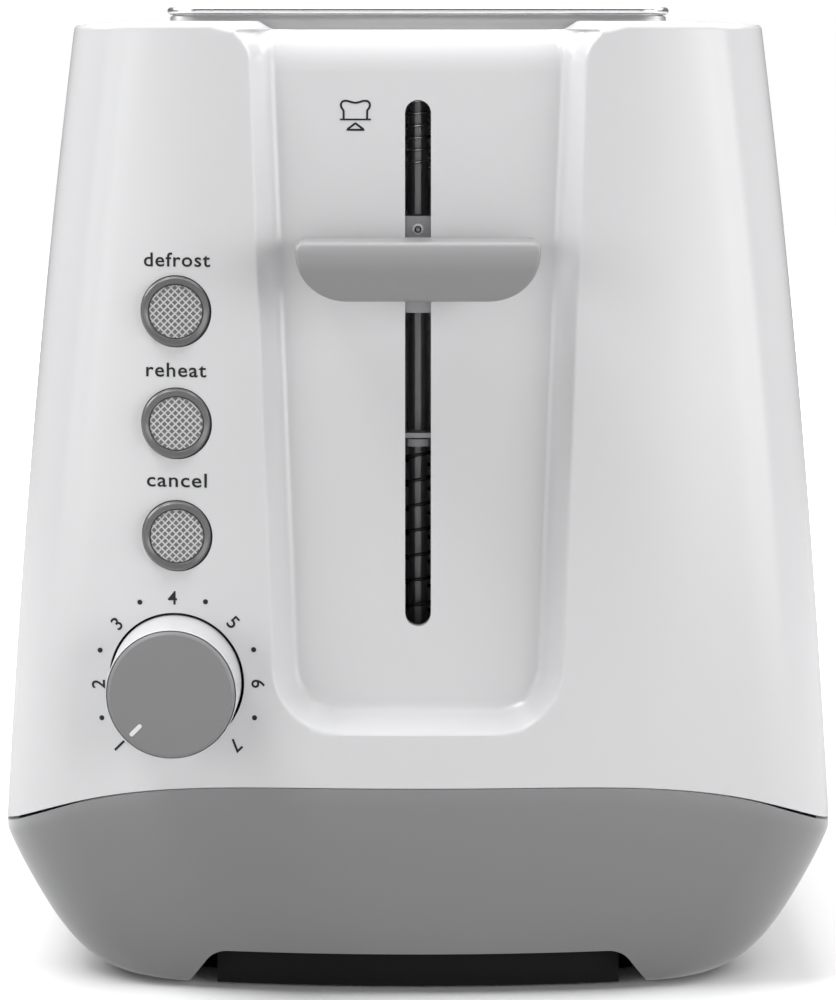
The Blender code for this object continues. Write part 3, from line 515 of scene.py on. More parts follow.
# Moulded plastic: slow colour mottle, smeared roughness and a fine skin.
def plastic(name, dark, light, rough, grain=900.0, bump=0.00001, coat=0.0, coatRough=0.1, sheen=0.0,
            gloss=0.5):
    made, tree, shader = startMaterial(name)
    skin = groupNode(tree, "skin", Grain_Scale=grain)
    marks = groupNode(tree, "handling")
    blendColours(tree, skin.outputs["Mottle"], dark, light, shader.inputs["Base Color"])
    ranged(tree, marks.outputs["Smear"], rough, rough + 0.08, shader.inputs["Roughness"])
    shader.inputs["Coat Weight"].default_value = coat
    shader.inputs["Coat Roughness"].default_value = coatRough
    shader.inputs["Sheen Weight"].default_value = sheen
    shader.inputs["Specular IOR Level"].default_value = gloss
    addBump(tree, skin.outputs["Height"], bump)
    return made


# Drawn or brushed metal: streaked colour and roughness along the grain.
def metal(name, dark, light, rough, stretch, bump=0.00002, spread=0.1, metallic=1.0):
    made, tree, shader = startMaterial(name, metallic)
    grain = groupNode(tree, "brushed", Stretch=stretch)
    blendColours(tree, grain.outputs["Streak"], dark, light, shader.inputs["Base Color"])
    ranged(tree, grain.outputs["Height"], rough, rough + spread, shader.inputs["Roughness"])
    addBump(tree, grain.outputs["Height"], bump)
    return made


# Frosted lens: raised ribs crossing over cells, with painted highlight (pale colour) on the ribs and
# painted shade (dark colour) in the cells.
def paintedShadeLens(name, pitch):
    made, tree, shader = startMaterial(name)
    place = tree.nodes.new("ShaderNodeTexCoord")
    turn = tree.nodes.new("ShaderNodeMapping")
    turn.inputs["Rotation"].default_value = (0, math.pi / 4, 0)
    turn.inputs["Scale"].default_value = (2 * math.pi / pitch,) * 3
    split = tree.nodes.new("ShaderNodeSeparateXYZ")
    tree.links.new(place.outputs["Object"], turn.inputs["Vector"])
    tree.links.new(turn.outputs["Vector"], split.inputs["Vector"])
    waves = []
    for axis in ("X", "Z"):
        wave = tree.nodes.new("ShaderNodeMath")
        wave.operation = "COSINE"
        tree.links.new(split.outputs[axis], wave.inputs[0])
        waves.append(wave)
    rib = tree.nodes.new("ShaderNodeMath")
    rib.operation = "MAXIMUM"
    tree.links.new(waves[0].outputs[0], rib.inputs[0])
    tree.links.new(waves[1].outputs[0], rib.inputs[1])
    spread = tree.nodes.new("ShaderNodeMapRange")
    spread.inputs["From Min"].default_value = 0.35
    spread.inputs["From Max"].default_value = 0.9
    tree.links.new(rib.outputs[0], spread.inputs["Value"])
    # painted shade: dark cells in the hollows; painted highlight: pale colour on the raised ribs
    blendColours(tree, spread.outputs["Result"], (0.17, 0.17, 0.17), (0.62, 0.62, 0.62),
                 shader.inputs["Base Color"])
    ranged(tree, spread.outputs["Result"], 0.3, 0.16, shader.inputs["Roughness"])
    return made


finish = {
    "white": plastic("whiteGloss", (0.66, 0.66, 0.67), (0.69, 0.69, 0.70), 0.2, 500.0, 0.000004),
    "grey": plastic("greySatin", (0.215, 0.215, 0.22), (0.235, 0.235, 0.24), 0.3, 2200.0, 0.00001,
                    sheen=0.8),
    "lever": plastic("leverSatin", (0.26, 0.26, 0.265), (0.28, 0.28, 0.285), 0.36, 2500.0, 0.000006),
    "dial": plastic("dialGrey", (0.225, 0.225, 0.23), (0.24, 0.24, 0.245), 0.4, 2500.0, 0.00001),
    "dialSide": plastic("dialSideWhite", (0.6, 0.6, 0.61), (0.63, 0.63, 0.64), 0.3, 600.0, 0.000001),
    "black": plastic("blackTextured", (0.004, 0.004, 0.0045), (0.007, 0.007, 0.0075), 0.62, 1500.0,
                     0.00004, gloss=0.2),
    "ink": plastic("printInk", (0.003, 0.003, 0.0035), (0.005, 0.005, 0.0055), 0.6, 3000.0, 0.000002),
    "rubber": plastic("footRubber", (0.02, 0.02, 0.02), (0.032, 0.032, 0.032), 0.78, 1200.0, 0.00005),
    "mica": plastic("micaBoard", (0.42, 0.37, 0.3), (0.6, 0.55, 0.46), 0.5, 260.0, 0.00008),
    "board": plastic("solderMask", (0.012, 0.06, 0.03), (0.02, 0.09, 0.045), 0.35, 700.0, 0.00001),
    "ring": plastic("smokedRing", (0.11, 0.11, 0.112), (0.15, 0.15, 0.152), 0.28, 1500.0, 0.000002,
                    coat=0.5, coatRough=0.12),
    "lens": paintedShadeLens("crossRibbedLensPaintedShade", 1.04 * mm),
    "ledLens": plastic("ledDome", (0.5, 0.5, 0.48), (0.62, 0.62, 0.6), 0.15, 900.0, 0.000002),
    "steelWall": metal("brushedWall", (0.5, 0.5, 0.505), (0.78, 0.78, 0.785), 0.36, (14, 14, 5200),
                       metallic=0.65),
    "steelTop": metal("brushedTop", (0.5, 0.5, 0.51), (0.66, 0.66, 0.67), 0.27, (4200, 14, 14)),
    "steelRim": metal("polishedRim", (0.7, 0.7, 0.71), (0.8, 0.8, 0.81), 0.2, (60, 60, 600),
                      0.000003, 0.05, 0.85),
    "zinc": metal("zincSheet", (0.56, 0.56, 0.58), (0.78, 0.78, 0.8), 0.42, (160, 160, 160),
                  0.00002, 0.16),
    "wire": metal("springWire", (0.6, 0.6, 0.61), (0.74, 0.74, 0.75), 0.2, (300, 300, 900),
                  0.000005, 0.12),
    # the lift spring's wire, far darker than the buffer spring's
    "darkWire": metal("darkSpringWire", (0.06, 0.06, 0.065), (0.12, 0.12, 0.125), 0.3,
                      (300, 300, 900), 0.000005, 0.12),
    "rod": metal("guideRod", (0.62, 0.62, 0.63), (0.78, 0.78, 0.79), 0.38, (900, 900, 60),
                 0.000005, 0.12),
    "ribbon": metal("heatRibbon", (0.2, 0.19, 0.18), (0.34, 0.32, 0.3), 0.42, (60, 300, 900),
                    0.00001, 0.15),
    "copper": metal("enamelledCopper", (0.42, 0.16, 0.07), (0.62, 0.27, 0.13), 0.3, (90, 90, 3200),
                    0.00008, 0.1),
}
print("materials ready:", len(finish))

makeStudio(studio)


casing = {
    "frontY": -133 * mm, "rearY": 145 * mm,
    "halfWidth": 85.9 * mm,
    "taperFrom": 34 * mm, "taperRise": 163 * mm,
    "taper": (10.1 * mm, 5.6 * mm),      # sides, linear and square parts
    "lean": (4.5 * mm, 2.5 * mm),        # ends
    "bow": 260 * mm, "corner": 21 * mm,
    "wall": 2.4 * mm,
    "top": 197 * mm, "edgeRound": 1.0 * mm, "crown": 0.8 * mm,
    "seam": 44.5 * mm, "seamDip": 11.8 * mm, "seamPower": 4.4,
    "seamGap": 0.14 * mm,
}

recess = {
    "half": 29.6 * mm, "halfAt": 74 * mm, "spread": 0.0353,     # outer edge's half width
    "bottom": 55.3 * mm, "round": 13 * mm, "evenAt": 120 * mm,
    "floorY": -124.3 * mm, "floorAt": 60 * mm, "floorLean": 0.0456,
    "run": 4.5 * mm,                     # width of the sloping wall
    "edgeSoft": 0.07, "footSoft": 0.30,  # rounding at the wall's top and foot, shares of the run
    "footShift": 0.3,
    "flareFrom": 189 * mm, "flare": 8 * mm,
    "topRound": 8 * mm, "topDrop": 1.0 * mm,
    "reference": 53 * mm, "zone": 42.4 * mm,     # columns inside the zone follow the recess edge
}

opening = {"half": 51.8 * mm, "y": (-103.3 * mm, 115.3 * mm), "round": 6.8 * mm}


# How far a face has come in at a height: linear * t + square * t * t, t up the taper
def drawnIn(z, amounts):
    part = np.clip((z - casing["taperFrom"]) / casing["taperRise"], 0, None)
    return amounts[0] * part + amounts[1] * part * part


# The seam falls off to the sides as a power of the distance from the middle
def seamHeight(x):
    part = np.clip(np.abs(x) / casing["halfWidth"], 0, 1)
    return casing["seam"] - casing["seamDip"] * part ** casing["seamPower"]


# Columns of a quarter of the plan: kind (0 bowed end, 1 corner, 2 side) and place along it.
def quarterColumns(dense):
    if dense:                            # ends: x as a share of the bowed end's half length
        edges = [(0, 0.44, 16), (0.44, 0.82, 72), (0.82, 1.0, 8)]
    else:
        edges = [(0, 1.0, 22)]
    flat = np.concatenate([np.linspace(a, b, n, endpoint=False) for a, b, n in edges])
    turn = np.linspace(0, 1, 22, endpoint=False)
    side = np.linspace(0, 1, 9)
    kind = np.repeat([0, 1, 2], [len(flat), len(turn), len(side)])
    return kind, np.concatenate([flat, turn, side])


# (side, end, kind, place) for every column once round, counter-clockwise from the front.
def planColumns():
    front, rear = quarterColumns(True), quarterColumns(False)
    parts = []
    for side, end, (kind, place), order in (
            (1, -1, front, slice(None, -1)),             # front middle to the side's middle
            (1, 1, rear, slice(None, None, -1)),         # on to the rear middle
            (-1, 1, rear, slice(1, -1)),
            (-1, -1, front, slice(None, 0, -1))):        # and back to the front
        kind, place = kind[order], place[order]
        parts.append(np.stack([np.full(len(kind), side), np.full(len(kind), end), kind, place]))
    return np.concatenate(parts, 1)


# X and Y of each column at each height: a bowed end, a corner arc and a straight side.
def planOutline(columns, z, half, reach, bow, corner, besideRecess=False):
    side, end, kind, place = columns
    cornerX = half - corner
    turn = np.arcsin(cornerX / (bow - corner))
    endX = bow * np.sin(turn)
    cornerY = bow - np.sqrt((bow - corner) ** 2 - cornerX ** 2)
    x0 = place * endX
    if besideRecess:                     # near the recess the columns keep beside its edge
        reference, zone = recess["reference"], recess["zone"]
        edge = recessHalf(z) / recessHalf(recess["evenAt"])
        held = place * reference * edge
        weight = np.clip((place * reference - zone) / (reference - zone), 0, 1)
        weight = weight * weight * (3 - 2 * weight)
        x0 = np.where(end < 0, held * (1 - weight) + x0 * weight, x0)
    y0 = bow - np.sqrt(np.maximum(bow ** 2 - x0 ** 2, 0))
    angle = turn + place * (math.pi / 2 - turn)
    x1, y1 = cornerX + corner * np.sin(angle), cornerY - corner * np.cos(angle)
    x2, y2 = half + 0 * x0, cornerY + place * (reach - cornerY)
    x = np.where(kind == 0, x0, np.where(kind == 1, x1, x2))
    y = np.where(kind == 0, y0, np.where(kind == 1, y1, y2))
    return side * x, end * (reach - y)


# Half width of the recess, growing evenly with height
def recessHalf(z):
    return recess["half"] + recess["spread"] * (z - recess["halfAt"])


# How far into the recess a point of the front is: 0 on the casing, 1 on the recess floor.
def recessShare(x, z, grow=0.0):
    flare = np.clip((z - recess["flareFrom"]) / recess["flare"], 0, 1)
    half = recessHalf(z) + grow + recess["flare"] * (1 - np.sqrt(1 - flare ** 2))
    radius = recess["round"] + grow
    across = np.abs(x) - (half - radius)
    down = recess["bottom"] - grow + radius - z
    outside = (np.hypot(np.maximum(across, 0), np.maximum(down, 0))
               + np.minimum(np.maximum(across, down), 0) - radius)
    part = -outside / recess["run"]
    sink = (softStart(part - recess["edgeSoft"], recess["edgeSoft"])
            - softStart(part - 1 + recess["footShift"] * recess["footSoft"], recess["footSoft"]))
    return (sink / (1 - recess["edgeSoft"] - recess["footShift"] * recess["footSoft"])).clip(0, 1)


# Zero below 0 and a unit slope above it, joined by a parabola.
def softStart(part, soft):
    return np.where(part > soft, part, np.where(part < -soft, 0, (part + soft) ** 2 / (4 * soft)))


# Shares of the wall's height, closest together round the foot and head of the recess.
def heightRows():
    low, high = casing["seam"] / mm, casing["top"] / mm
    spans = [(low, 50, 4), (50, 76, 62), (76, 176, 30), (176, 188, 8), (188, high, 34)]
    rows = np.concatenate([np.linspace(a, b, n, endpoint=False) for a, b, n in spans] + [[high]])
    return (rows - low) / (high - low)


# The white casing as a grid: up the wall, over the top edge and in to the plate opening.
def casingSurface(columns, rows, inner):
    wall = casing["wall"] if inner else 0.0
    middle = (casing["frontY"] + casing["rearY"]) / 2
    fullReach = (casing["rearY"] - casing["frontY"]) / 2
    side, end = columns[0], columns[1]
    bow, corner = casing["bow"] - wall, casing["corner"] - wall

    # Plan outline at a height, each half less its taper and the wall
    def outline(z):
        half = casing["halfWidth"] - drawnIn(z, casing["taper"]) - wall
        reach = fullReach - drawnIn(z, casing["lean"]) - wall
        return planOutline(columns, z, half, reach, bow, corner, True)

    # That outline, moved towards the recess floor by the recess share
    def wallPoint(z):
        x, y = outline(z)
        floor = recess["floorY"] + recess["floorLean"] * (z - recess["floorAt"]) + wall - middle
        share = np.where((end < 0) & (columns[2] == 0), recessShare(x, z, 0.6 * wall), 0)
        return x, y + share * (floor - y), share

    seamX, _ = outline(np.full_like(side, casing["seam"]))
    low = seamHeight(seamX) + casing["seamGap"]
    high = np.full_like(side, casing["top"])
    _, _, atTop = wallPoint(high)
    _, _, underFlare = wallPoint(high - recess["topRound"])
    topZ = high - wall - recess["topDrop"] * atTop
    edge = casing["edgeRound"] + (recess["topRound"] - casing["edgeRound"]) * underFlare
    edge = np.maximum(edge - wall, 0.25 * mm)
    z = low + rows[:, None] * (topZ - edge - low)
    x, y, _ = wallPoint(z)
    layers = [np.stack([x, y, z], -1)]

    lastX, lastY = x[-1], y[-1]
    beforeX, beforeY = x[-2], y[-2]
    lift = (z[-1] - z[-2])
    slopeX, slopeY = (lastX - beforeX) / lift, (lastY - beforeY) / lift
    target = openingOutline(columns, opening["half"], opening["y"], opening["round"])
    target = target - np.array([0, middle])[:, None]
    inX, inY = target[0] - lastX, target[1] - lastY
    far = np.hypot(inX, inY)
    inX, inY = inX / far, inY / far
    turn = np.linspace(0, math.pi / 2, 9)[1:, None]
    arcZ = topZ - edge + edge * np.sin(turn)
    climb, move = edge * np.sin(turn), edge * (1 - np.cos(turn))
    fade = np.cos(turn)
    layers.append(np.stack([lastX + slopeX * climb * fade + inX * move,
                            lastY + slopeY * climb * fade + inY * move, arcZ], -1))
    startX, startY = layers[-1][-1, :, 0], layers[-1][-1, :, 1]
    across = np.linspace(0, 1, 9)[1:, None]
    flatX = startX + (target[0] - startX) * across
    flatY = startY + (target[1] - startY) * across
    crown = casing["crown"] * np.sin(across * math.pi / 2) * (1 - atTop)
    flatZ = topZ + crown
    layers.append(np.stack([flatX, flatY, flatZ], -1))
    grid = np.concatenate(layers)
    grid[..., 1] += middle
    return grid


# The plate opening's rounded rectangle, one point for each column of the casing.
def openingOutline(columns, half, ends, radius):
    side, end, kind, place = columns
    middle, reach = sum(ends) / 2, (ends[1] - ends[0]) / 2
    angle = place * math.pi / 2
    x = np.where(kind == 0, place * (half - radius),
                 np.where(kind == 1, half - radius + radius * np.sin(angle), half))
    y = np.where(kind == 0, 0, np.where(kind == 1, radius - radius * np.cos(angle),
                                        radius + place * (reach - radius)))
    return np.stack([side * x, middle + end * (reach - y)])


# A closed shell from an outer and an inner grid with the same columns.
def shellObject(name, outer, inner):
    columns = outer.shape[1]
    outerFaces = gridFaces(outer.shape[0], columns, wrapColumns=True)
    start = outer.shape[0] * columns
    innerFaces = gridFaces(inner.shape[0], columns, wrapColumns=True, start=start)[:, ::-1]
    c = np.arange(columns)
    c2 = (c + 1) % columns
    top, innerTop = (outer.shape[0] - 1) * columns, start + (inner.shape[0] - 1) * columns
    lowRim = np.stack([c2, c, start + c, start + c2], -1)
    topRim = np.stack([top + c, top + c2, innerTop + c2, innerTop + c], -1)
    faces = np.concatenate([outerFaces, innerFaces, lowRim, topRim]).tolist()
    points = np.concatenate([outer.reshape(-1, 3), inner.reshape(-1, 3)])
    return tidyNormals(meshObject(name, points, faces, None), 32)


# Y of the casing's bowed front, away from the recess.
def frontY(x, z):
    lean = drawnIn(np.asarray(z, float), casing["lean"])
    return casing["frontY"] + lean + casing["bow"] - np.sqrt(casing["bow"] ** 2 - np.asarray(x) ** 2)


holes = {
    "slotReach": (-135 * mm, -110 * mm),        # the cutters' ends, in front of and behind the wall
    "buttonReach": (-140 * mm, -112 * mm), "dialReach": (-145 * mm, -112 * mm),
    "shadeLining": 0.10 * mm, "shadeLiningSunk": 0.22 * mm, "shadeCupLip": 1.2 * mm,
    "leverSlot": {"half": 2.6 * mm, "low": 76.2 * mm, "high": 182 * mm},
    "buttons": {"x": -48.4 * mm, "z": (140.1 * mm, 117.7 * mm, 95.1 * mm), "radius": 7.2 * mm,
                "floor": -121.5 * mm},
    "dial": {"x": -48.75 * mm, "z": 65.7 * mm, "radius": 13.8 * mm, "floor": -123.7 * mm},
}


# Two half circles joined by straight sides
def slotOutline(half, low, high, steps=16):
    turn = np.linspace(0, math.pi, steps + 1)
    topArc = np.stack([half * np.cos(turn), high - half + half * np.sin(turn)], -1)
    lowArc = np.stack([-half * np.cos(turn), low + half - half * np.sin(turn)], -1)
    return np.concatenate([topArc, lowArc])


# Evenly spaced points round a circle in XZ
def circleOutline(x, z, radius, steps=72):
    turn = np.linspace(0, 2 * math.pi, steps, endpoint=False)
    return np.stack([x + radius * np.cos(turn), z + radius * np.sin(turn)], -1)


# A black lining just inside a round hole, painted shade for the gap round the part that sits in it: a thin
# tube whose front edge follows the bowed casing
def makeShadeLining(name, x, z, radius, floor):
    turn = np.linspace(0, 2 * math.pi, 96, endpoint=False)
    inner, outer, front = radius - holes["shadeLining"], radius - 0.01 * mm, holes["shadeLiningSunk"]
    rings = []
    for r, sunk in ((inner, None), (inner, front), (outer, front), (outer, None)):
        px, pz = x + r * np.cos(turn), z + r * np.sin(turn)
        py = np.full_like(px, floor) if sunk is None else frontY(px, pz) + sunk
        rings.append(np.stack([px, py, pz], -1))
    tube = gridObject(name, np.stack(rings), wrapRows=True, wrapColumns=True, smoothAngle=None)
    settle(tidyNormals(tube, 30), finish["black"], "root", "black_plastic")


# The shell with its slot, button holes and dial hole cut through, and black linings and a black cup behind
# the holes as painted shade
def makeCasing():
    columns = planColumns()
    outer = casingSurface(columns, heightRows(), False)
    inner = casingSurface(columns, np.linspace(0, 1, 34), True)
    shell = shellObject("outerHousing", outer, inner)
    lever, buttons, dial = holes["leverSlot"], holes["buttons"], holes["dial"]
    tools = [extruded("slotTool", slotOutline(lever["half"], lever["low"], lever["high"]),
                      *holes["slotReach"], "Y")]
    for z in buttons["z"]:
        tools.append(extruded("buttonTool", circleOutline(buttons["x"], z, buttons["radius"]),
                              *holes["buttonReach"], "Y"))
    tools.append(extruded("dialTool", circleOutline(dial["x"], dial["z"], dial["radius"], 96),
                          *holes["dialReach"], "Y"))
    cutAway(shell, tools)
    settle(shell, finish["white"], "root", "white_plastic", "outer_housing")
    # a black cup at the floor of the dial hole: painted shade seen through the gap round the knob
    lip = holes["shadeCupLip"]
    cup = turnedSurface("dialShadeCup", [(0, 0), (dial["radius"] + lip, 0), (dial["radius"] + lip, -lip),
                                    (0, -lip)], (dial["x"], dial["floor"], dial["z"]), (0, -1, 0))
    settle(cup, finish["black"], "root", "black_plastic")
    # black linings in the dial and button holes: painted shade in the gaps round them
    makeShadeLining("dialShadeLining", dial["x"], dial["z"], dial["radius"], dial["floor"])
    for word, z in zip(("defrost", "reheat", "cancel"), buttons["z"]):
        makeShadeLining(f"buttonSleeve_{word}", buttons["x"], z, buttons["radius"], buttons["floor"])
    print("casing made:", len(shell.data.polygons), "faces")


makeCasing()


base = {
    "low": 0.8 * mm,
    "inset": (22.4 * mm, 12 * mm),       # sides, ends
    "lip": 6 * mm,
    "band": 0.05,                        # upright share below the seam
    "wall": 2.4 * mm,
    "archTop": 8.7 * mm, "archFlat": 39 * mm, "archRound": 5.5 * mm, "archFlare": math.radians(35),
    "trayHalf": 50.4 * mm, "trayZ": (13.2 * mm, 25.4 * mm),
    "glandZ": 34 * mm, "glandRadius": 6.8 * mm,
    "frontReach": (-150 * mm, -100 * mm), "rearReach": (110 * mm, 150 * mm),     # the cutters' ends
    "trayReach": (115 * mm, 155 * mm), "glandReach": (130 * mm, 160 * mm),
}


# Share of the base's inset by how far down it is, 0 at the seam and 1 at its foot.
def baseDraw(part):
    down = np.clip((1 - base["band"] - part) / (1 - base["band"]), 0, 1)
    return 0.7 * down ** 1.15 + 0.3 * (1 - np.sqrt(1 - down ** 6))


# The base as a grid: each height's plan outline drawn in by the taper and by the base's curve
def baseSurface(columns, parts, inner):
    wall = base["wall"] if inner else 0.0
    middle = (casing["frontY"] + casing["rearY"]) / 2
    fullReach = (casing["rearY"] - casing["frontY"]) / 2
    bow, corner = casing["bow"] - wall, casing["corner"] - wall
    flatZ = np.full_like(columns[0], casing["seam"])
    seamX, _ = planOutline(columns, flatZ, casing["halfWidth"], fullReach, casing["bow"],
                           casing["corner"])
    high = seamHeight(seamX) - casing["seamGap"]
    z = base["low"] + parts[:, None] * (high - base["low"])
    draw = baseDraw(parts)[:, None]
    taperX, taperY = drawnIn(z, casing["taper"]), drawnIn(z, casing["lean"])
    half = casing["halfWidth"] - taperX - draw * base["inset"][0] - wall
    reach = fullReach - taperY - draw * base["inset"][1] - wall
    x, y = planOutline(columns, z, half, reach, bow, corner)
    if inner:
        z = np.maximum(z, base["low"] + base["wall"])
    wallGrid = np.stack([x, y + middle, z], -1)
    lowHalf, lowReach = half[0] - base["lip"] + wall, reach[0] - base["lip"] + wall
    lipX, lipY = planOutline(columns, z[0], lowHalf, lowReach, bow, corner)
    lip = np.stack([lipX, lipY + middle, z[0]], -1)
    between = (lip + wallGrid[0]) / 2
    return np.concatenate([lip[None], between[None], wallGrid])


# A flat-topped arch: a flared foot, an arc from the flare angle to level, and its mirror image
def archOutline():
    flat, radius, flare = base["archFlat"], base["archRound"], base["archFlare"]
    turn = np.linspace(flare, math.pi / 2, 12)
    right = np.stack([flat + radius * np.cos(turn), base["archTop"] - radius * (1 - np.sin(turn))], -1)
    foot = -2 * mm
    start = right[0]
    low = np.array([[start[0] + (start[1] - foot) * math.tan(flare), foot]])
    right = np.concatenate([low, right])
    return np.concatenate([right, right[::-1] * np.array([-1, 1])])


# The shell with an arch at each end, and the tray and gland openings at the rear
def makeBase():
    columns = planColumns()
    parts = np.concatenate([[0, 0.004, 0.012, 0.025], np.linspace(0.04, 0.2, 14, endpoint=False),
                            np.linspace(0.2, 1.0, 34)])
    outer = baseSurface(columns, parts, False)
    inner = baseSurface(columns, np.linspace(0, 1, 24), True)
    shell = shellObject("baseShell", outer, inner)
    arch = archOutline()
    face = base["trayHalf"]
    low, high = base["trayZ"]
    tools = [extruded("archFront", arch, *base["frontReach"], "Y"),
             extruded("archRear", arch, *base["rearReach"], "Y"),
             extruded("trayMouth", [(-face, low), (face, low), (face, high), (-face, high)],
                      *base["trayReach"], "Y"),
             extruded("glandHole", circleOutline(0, base["glandZ"], base["glandRadius"]),
                      *base["glandReach"], "Y")]
    cutAway(shell, tools)
    settle(shell, finish["grey"], "root", "grey_plastic", "base_shell")
    print("base made:", len(shell.data.polygons), "faces")


makeBase()


topPlate = {
    "half": 51.5 * mm, "y": (-103 * mm, 115 * mm), "round": 6.5 * mm,
    "low": 194.8 * mm, "floor": 198.4 * mm, "rim": 200.6 * mm,
    "roll": 0.78 * mm,
    "slotX": 24 * mm, "slotHalf": 16 * mm, "slotY": (-66 * mm, 80 * mm), "slotRound": 3.5 * mm,
    "throat": 192.5 * mm, "sheet": 0.7 * mm,
}


# A wall and a rolled rim swept round the plate, a flat floor, and a lipped throat in each slot
def makeTopPlate():
    t = topPlate
    loop = roundedLoop(t["half"], *t["y"], t["round"], 16)
    wallProfile = [(-0.55 * mm, t["low"]), (-0.55 * mm, 198.5 * mm), (-0.7 * mm, 198.75 * mm),
                   (-1.15 * mm, 198.95 * mm), (-1.15 * mm, 199.4 * mm), (-1.8 * mm, 199.4 * mm),
                   (-1.8 * mm, t["low"])]
    wall = sweepLoop("plateWall", loop, wallProfile + wallProfile[:1])
    settle(tidyClosed(wall, 35), finish["steelWall"], "root", "stainless")
    turn = np.linspace(-0.35 * math.pi, 1.25 * math.pi, 22)
    centreZ, r = t["rim"] - t["roll"], t["roll"]
    roll = np.stack([-r + r * np.cos(turn), centreZ + r * np.sin(turn) * 1.0], -1)
    rim = sweepLoop("plateRim", loop, np.concatenate([roll, roll[:1]]))
    settle(tidyClosed(rim, 50), finish["steelRim"], "root", "stainless")
    rimIn = 1.7 * mm
    outer, _ = roundedLoop(t["half"] - rimIn, t["y"][0] + rimIn, t["y"][1] - rimIn,
                              t["round"] - rimIn, 12)
    floor = flatWithHoles("plateFloor", outer, [slotLoop(side, 1.0 * mm) for side in (-1, 1)],
                          t["floor"] - t["sheet"], t["floor"])
    settle(floor, finish["steelTop"], "root", "stainless", "top_plate")
    for side, word in ((-1, "Left"), (1, "Right")):
        arc = np.linspace(0, math.pi / 2, 7)
        soft = 1.0 * mm
        lead = np.stack([soft * (1 - np.sin(arc)), t["floor"] - soft * (1 - np.cos(arc))], -1)
        inner = np.array([(0, t["throat"]), (t["sheet"], t["throat"])])
        back = np.stack([t["sheet"] + (soft - 0.2 * mm) * (1 - np.sin(arc[::-1])),
                         t["floor"] - t["sheet"] - (soft - 0.2 * mm) * (1 - np.cos(arc[::-1]))], -1)
        profile = np.concatenate([lead, inner, back])
        loop = roundedLoop(t["slotHalf"], *t["slotY"], t["slotRound"], 8)
        throat = sweepLoop(f"slotThroat{word}", loop, np.concatenate([profile, profile[:1]]),
                           shiftX=side * t["slotX"])
        settle(tidyClosed(throat, 50), finish["steelTop"], "root", "stainless")
    print("top plate made")


# Plan outline of a bread slot, grown by a margin
def slotLoop(side, grow):
    t = topPlate
    places, _ = roundedLoop(t["slotHalf"] + grow, t["slotY"][0] - grow, t["slotY"][1] + grow,
                            t["slotRound"] + grow, 8)
    return places + np.array([side * t["slotX"], 0])


# A flat sheet with holes: a filled 2D curve of the outlines, given its thickness.
def flatWithHoles(name, outer, holesIn, low, high):
    curve = bpy.data.curves.new(name, "CURVE")
    curve.dimensions = "2D"
    curve.fill_mode = "BOTH"
    curve.extrude = (high - low) / 2
    for loop in [outer] + holesIn:
        spline = curve.splines.new("POLY")
        spline.points.add(len(loop) - 1)
        flat = np.concatenate([loop, np.zeros((len(loop), 1)), np.ones((len(loop), 1))], 1)
        spline.points.foreach_set("co", flat.ravel())
        spline.use_cyclic_u = True
    holder = bpy.data.objects.new(name + "Curve", curve)
    bpy.context.scene.collection.objects.link(holder)
    bpy.context.view_layer.update()
    mesh = bpy.data.meshes.new_from_object(holder.evaluated_get(bpy.context.evaluated_depsgraph_get()))
    mesh.transform(Matrix.Translation((0, 0, (low + high) / 2)))
    bpy.data.objects.remove(holder, do_unlink=True)
    obj = bpy.data.objects.new(name, mesh)
    bpy.context.scene.collection.objects.link(obj)
    return tidyClosed(obj, 35)


makeTopPlate()


lever = {
    "half": 23.9 * mm, "round": 10 * mm, "topRound": 1.4 * mm,
    "soft": 0.75 * mm,                   # bevel round the face
    "crown": 3.6 * mm,                   # the face's bulge
    "crownAt": 0.42,                     # its highest place, as a share of the height
    "body": "carriage",
}


# Rings of the front outline carried back to front, drawn in along an arc at the bevel, then filled
# towards the middle; the face falls back from its crown as the square of the distance
def makeLever():
    low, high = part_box("lever_handle")
    outline = leverOutline(low.z, high.z)
    middle = np.array([0, (low.z + high.z) / 2])
    soft = lever["soft"]
    turn = np.linspace(0, math.pi / 2, 6)
    steps = [(0, high.y), (0, low.y + soft + 3 * mm)]
    steps += [(soft * (1 - math.cos(a)), low.y + soft * (1 - math.sin(a))) for a in turn]
    insets = np.array([s[0] for s in steps])
    depths = np.array([s[1] for s in steps])
    out = outlineNormals(outline)
    rings = outline[None] - insets[:, None, None] * out[None]
    face = rings[-1]
    shares = np.linspace(0, 1, 12)[1:-1]
    inward = face[None] + (middle - face)[None] * shares[:, None, None]
    rings = np.concatenate([rings, inward])
    depths = np.concatenate([depths, np.full(len(inward), low.y)])
    back = np.broadcast_to(depths[:, None], rings.shape[:2])
    grid = np.stack([rings[..., 0], back, rings[..., 1]], -1)
    fall = (high.z - grid[..., 2]) / (high.z - low.z) - lever["crownAt"]
    front = np.clip((high.y - grid[..., 1]) / (high.y - low.y), 0, 1)
    grid[..., 1] += lever["crown"] * (fall / (1 - lever["crownAt"])) ** 2 * front ** 2
    handle = gridObject("leverHandle", grid, wrapColumns=True, ends=True, smoothAngle=None)
    settle(tidyNormals(handle, 32), finish["lever"], lever["body"], "lever_plastic", "lever_handle")
    print("lever made")


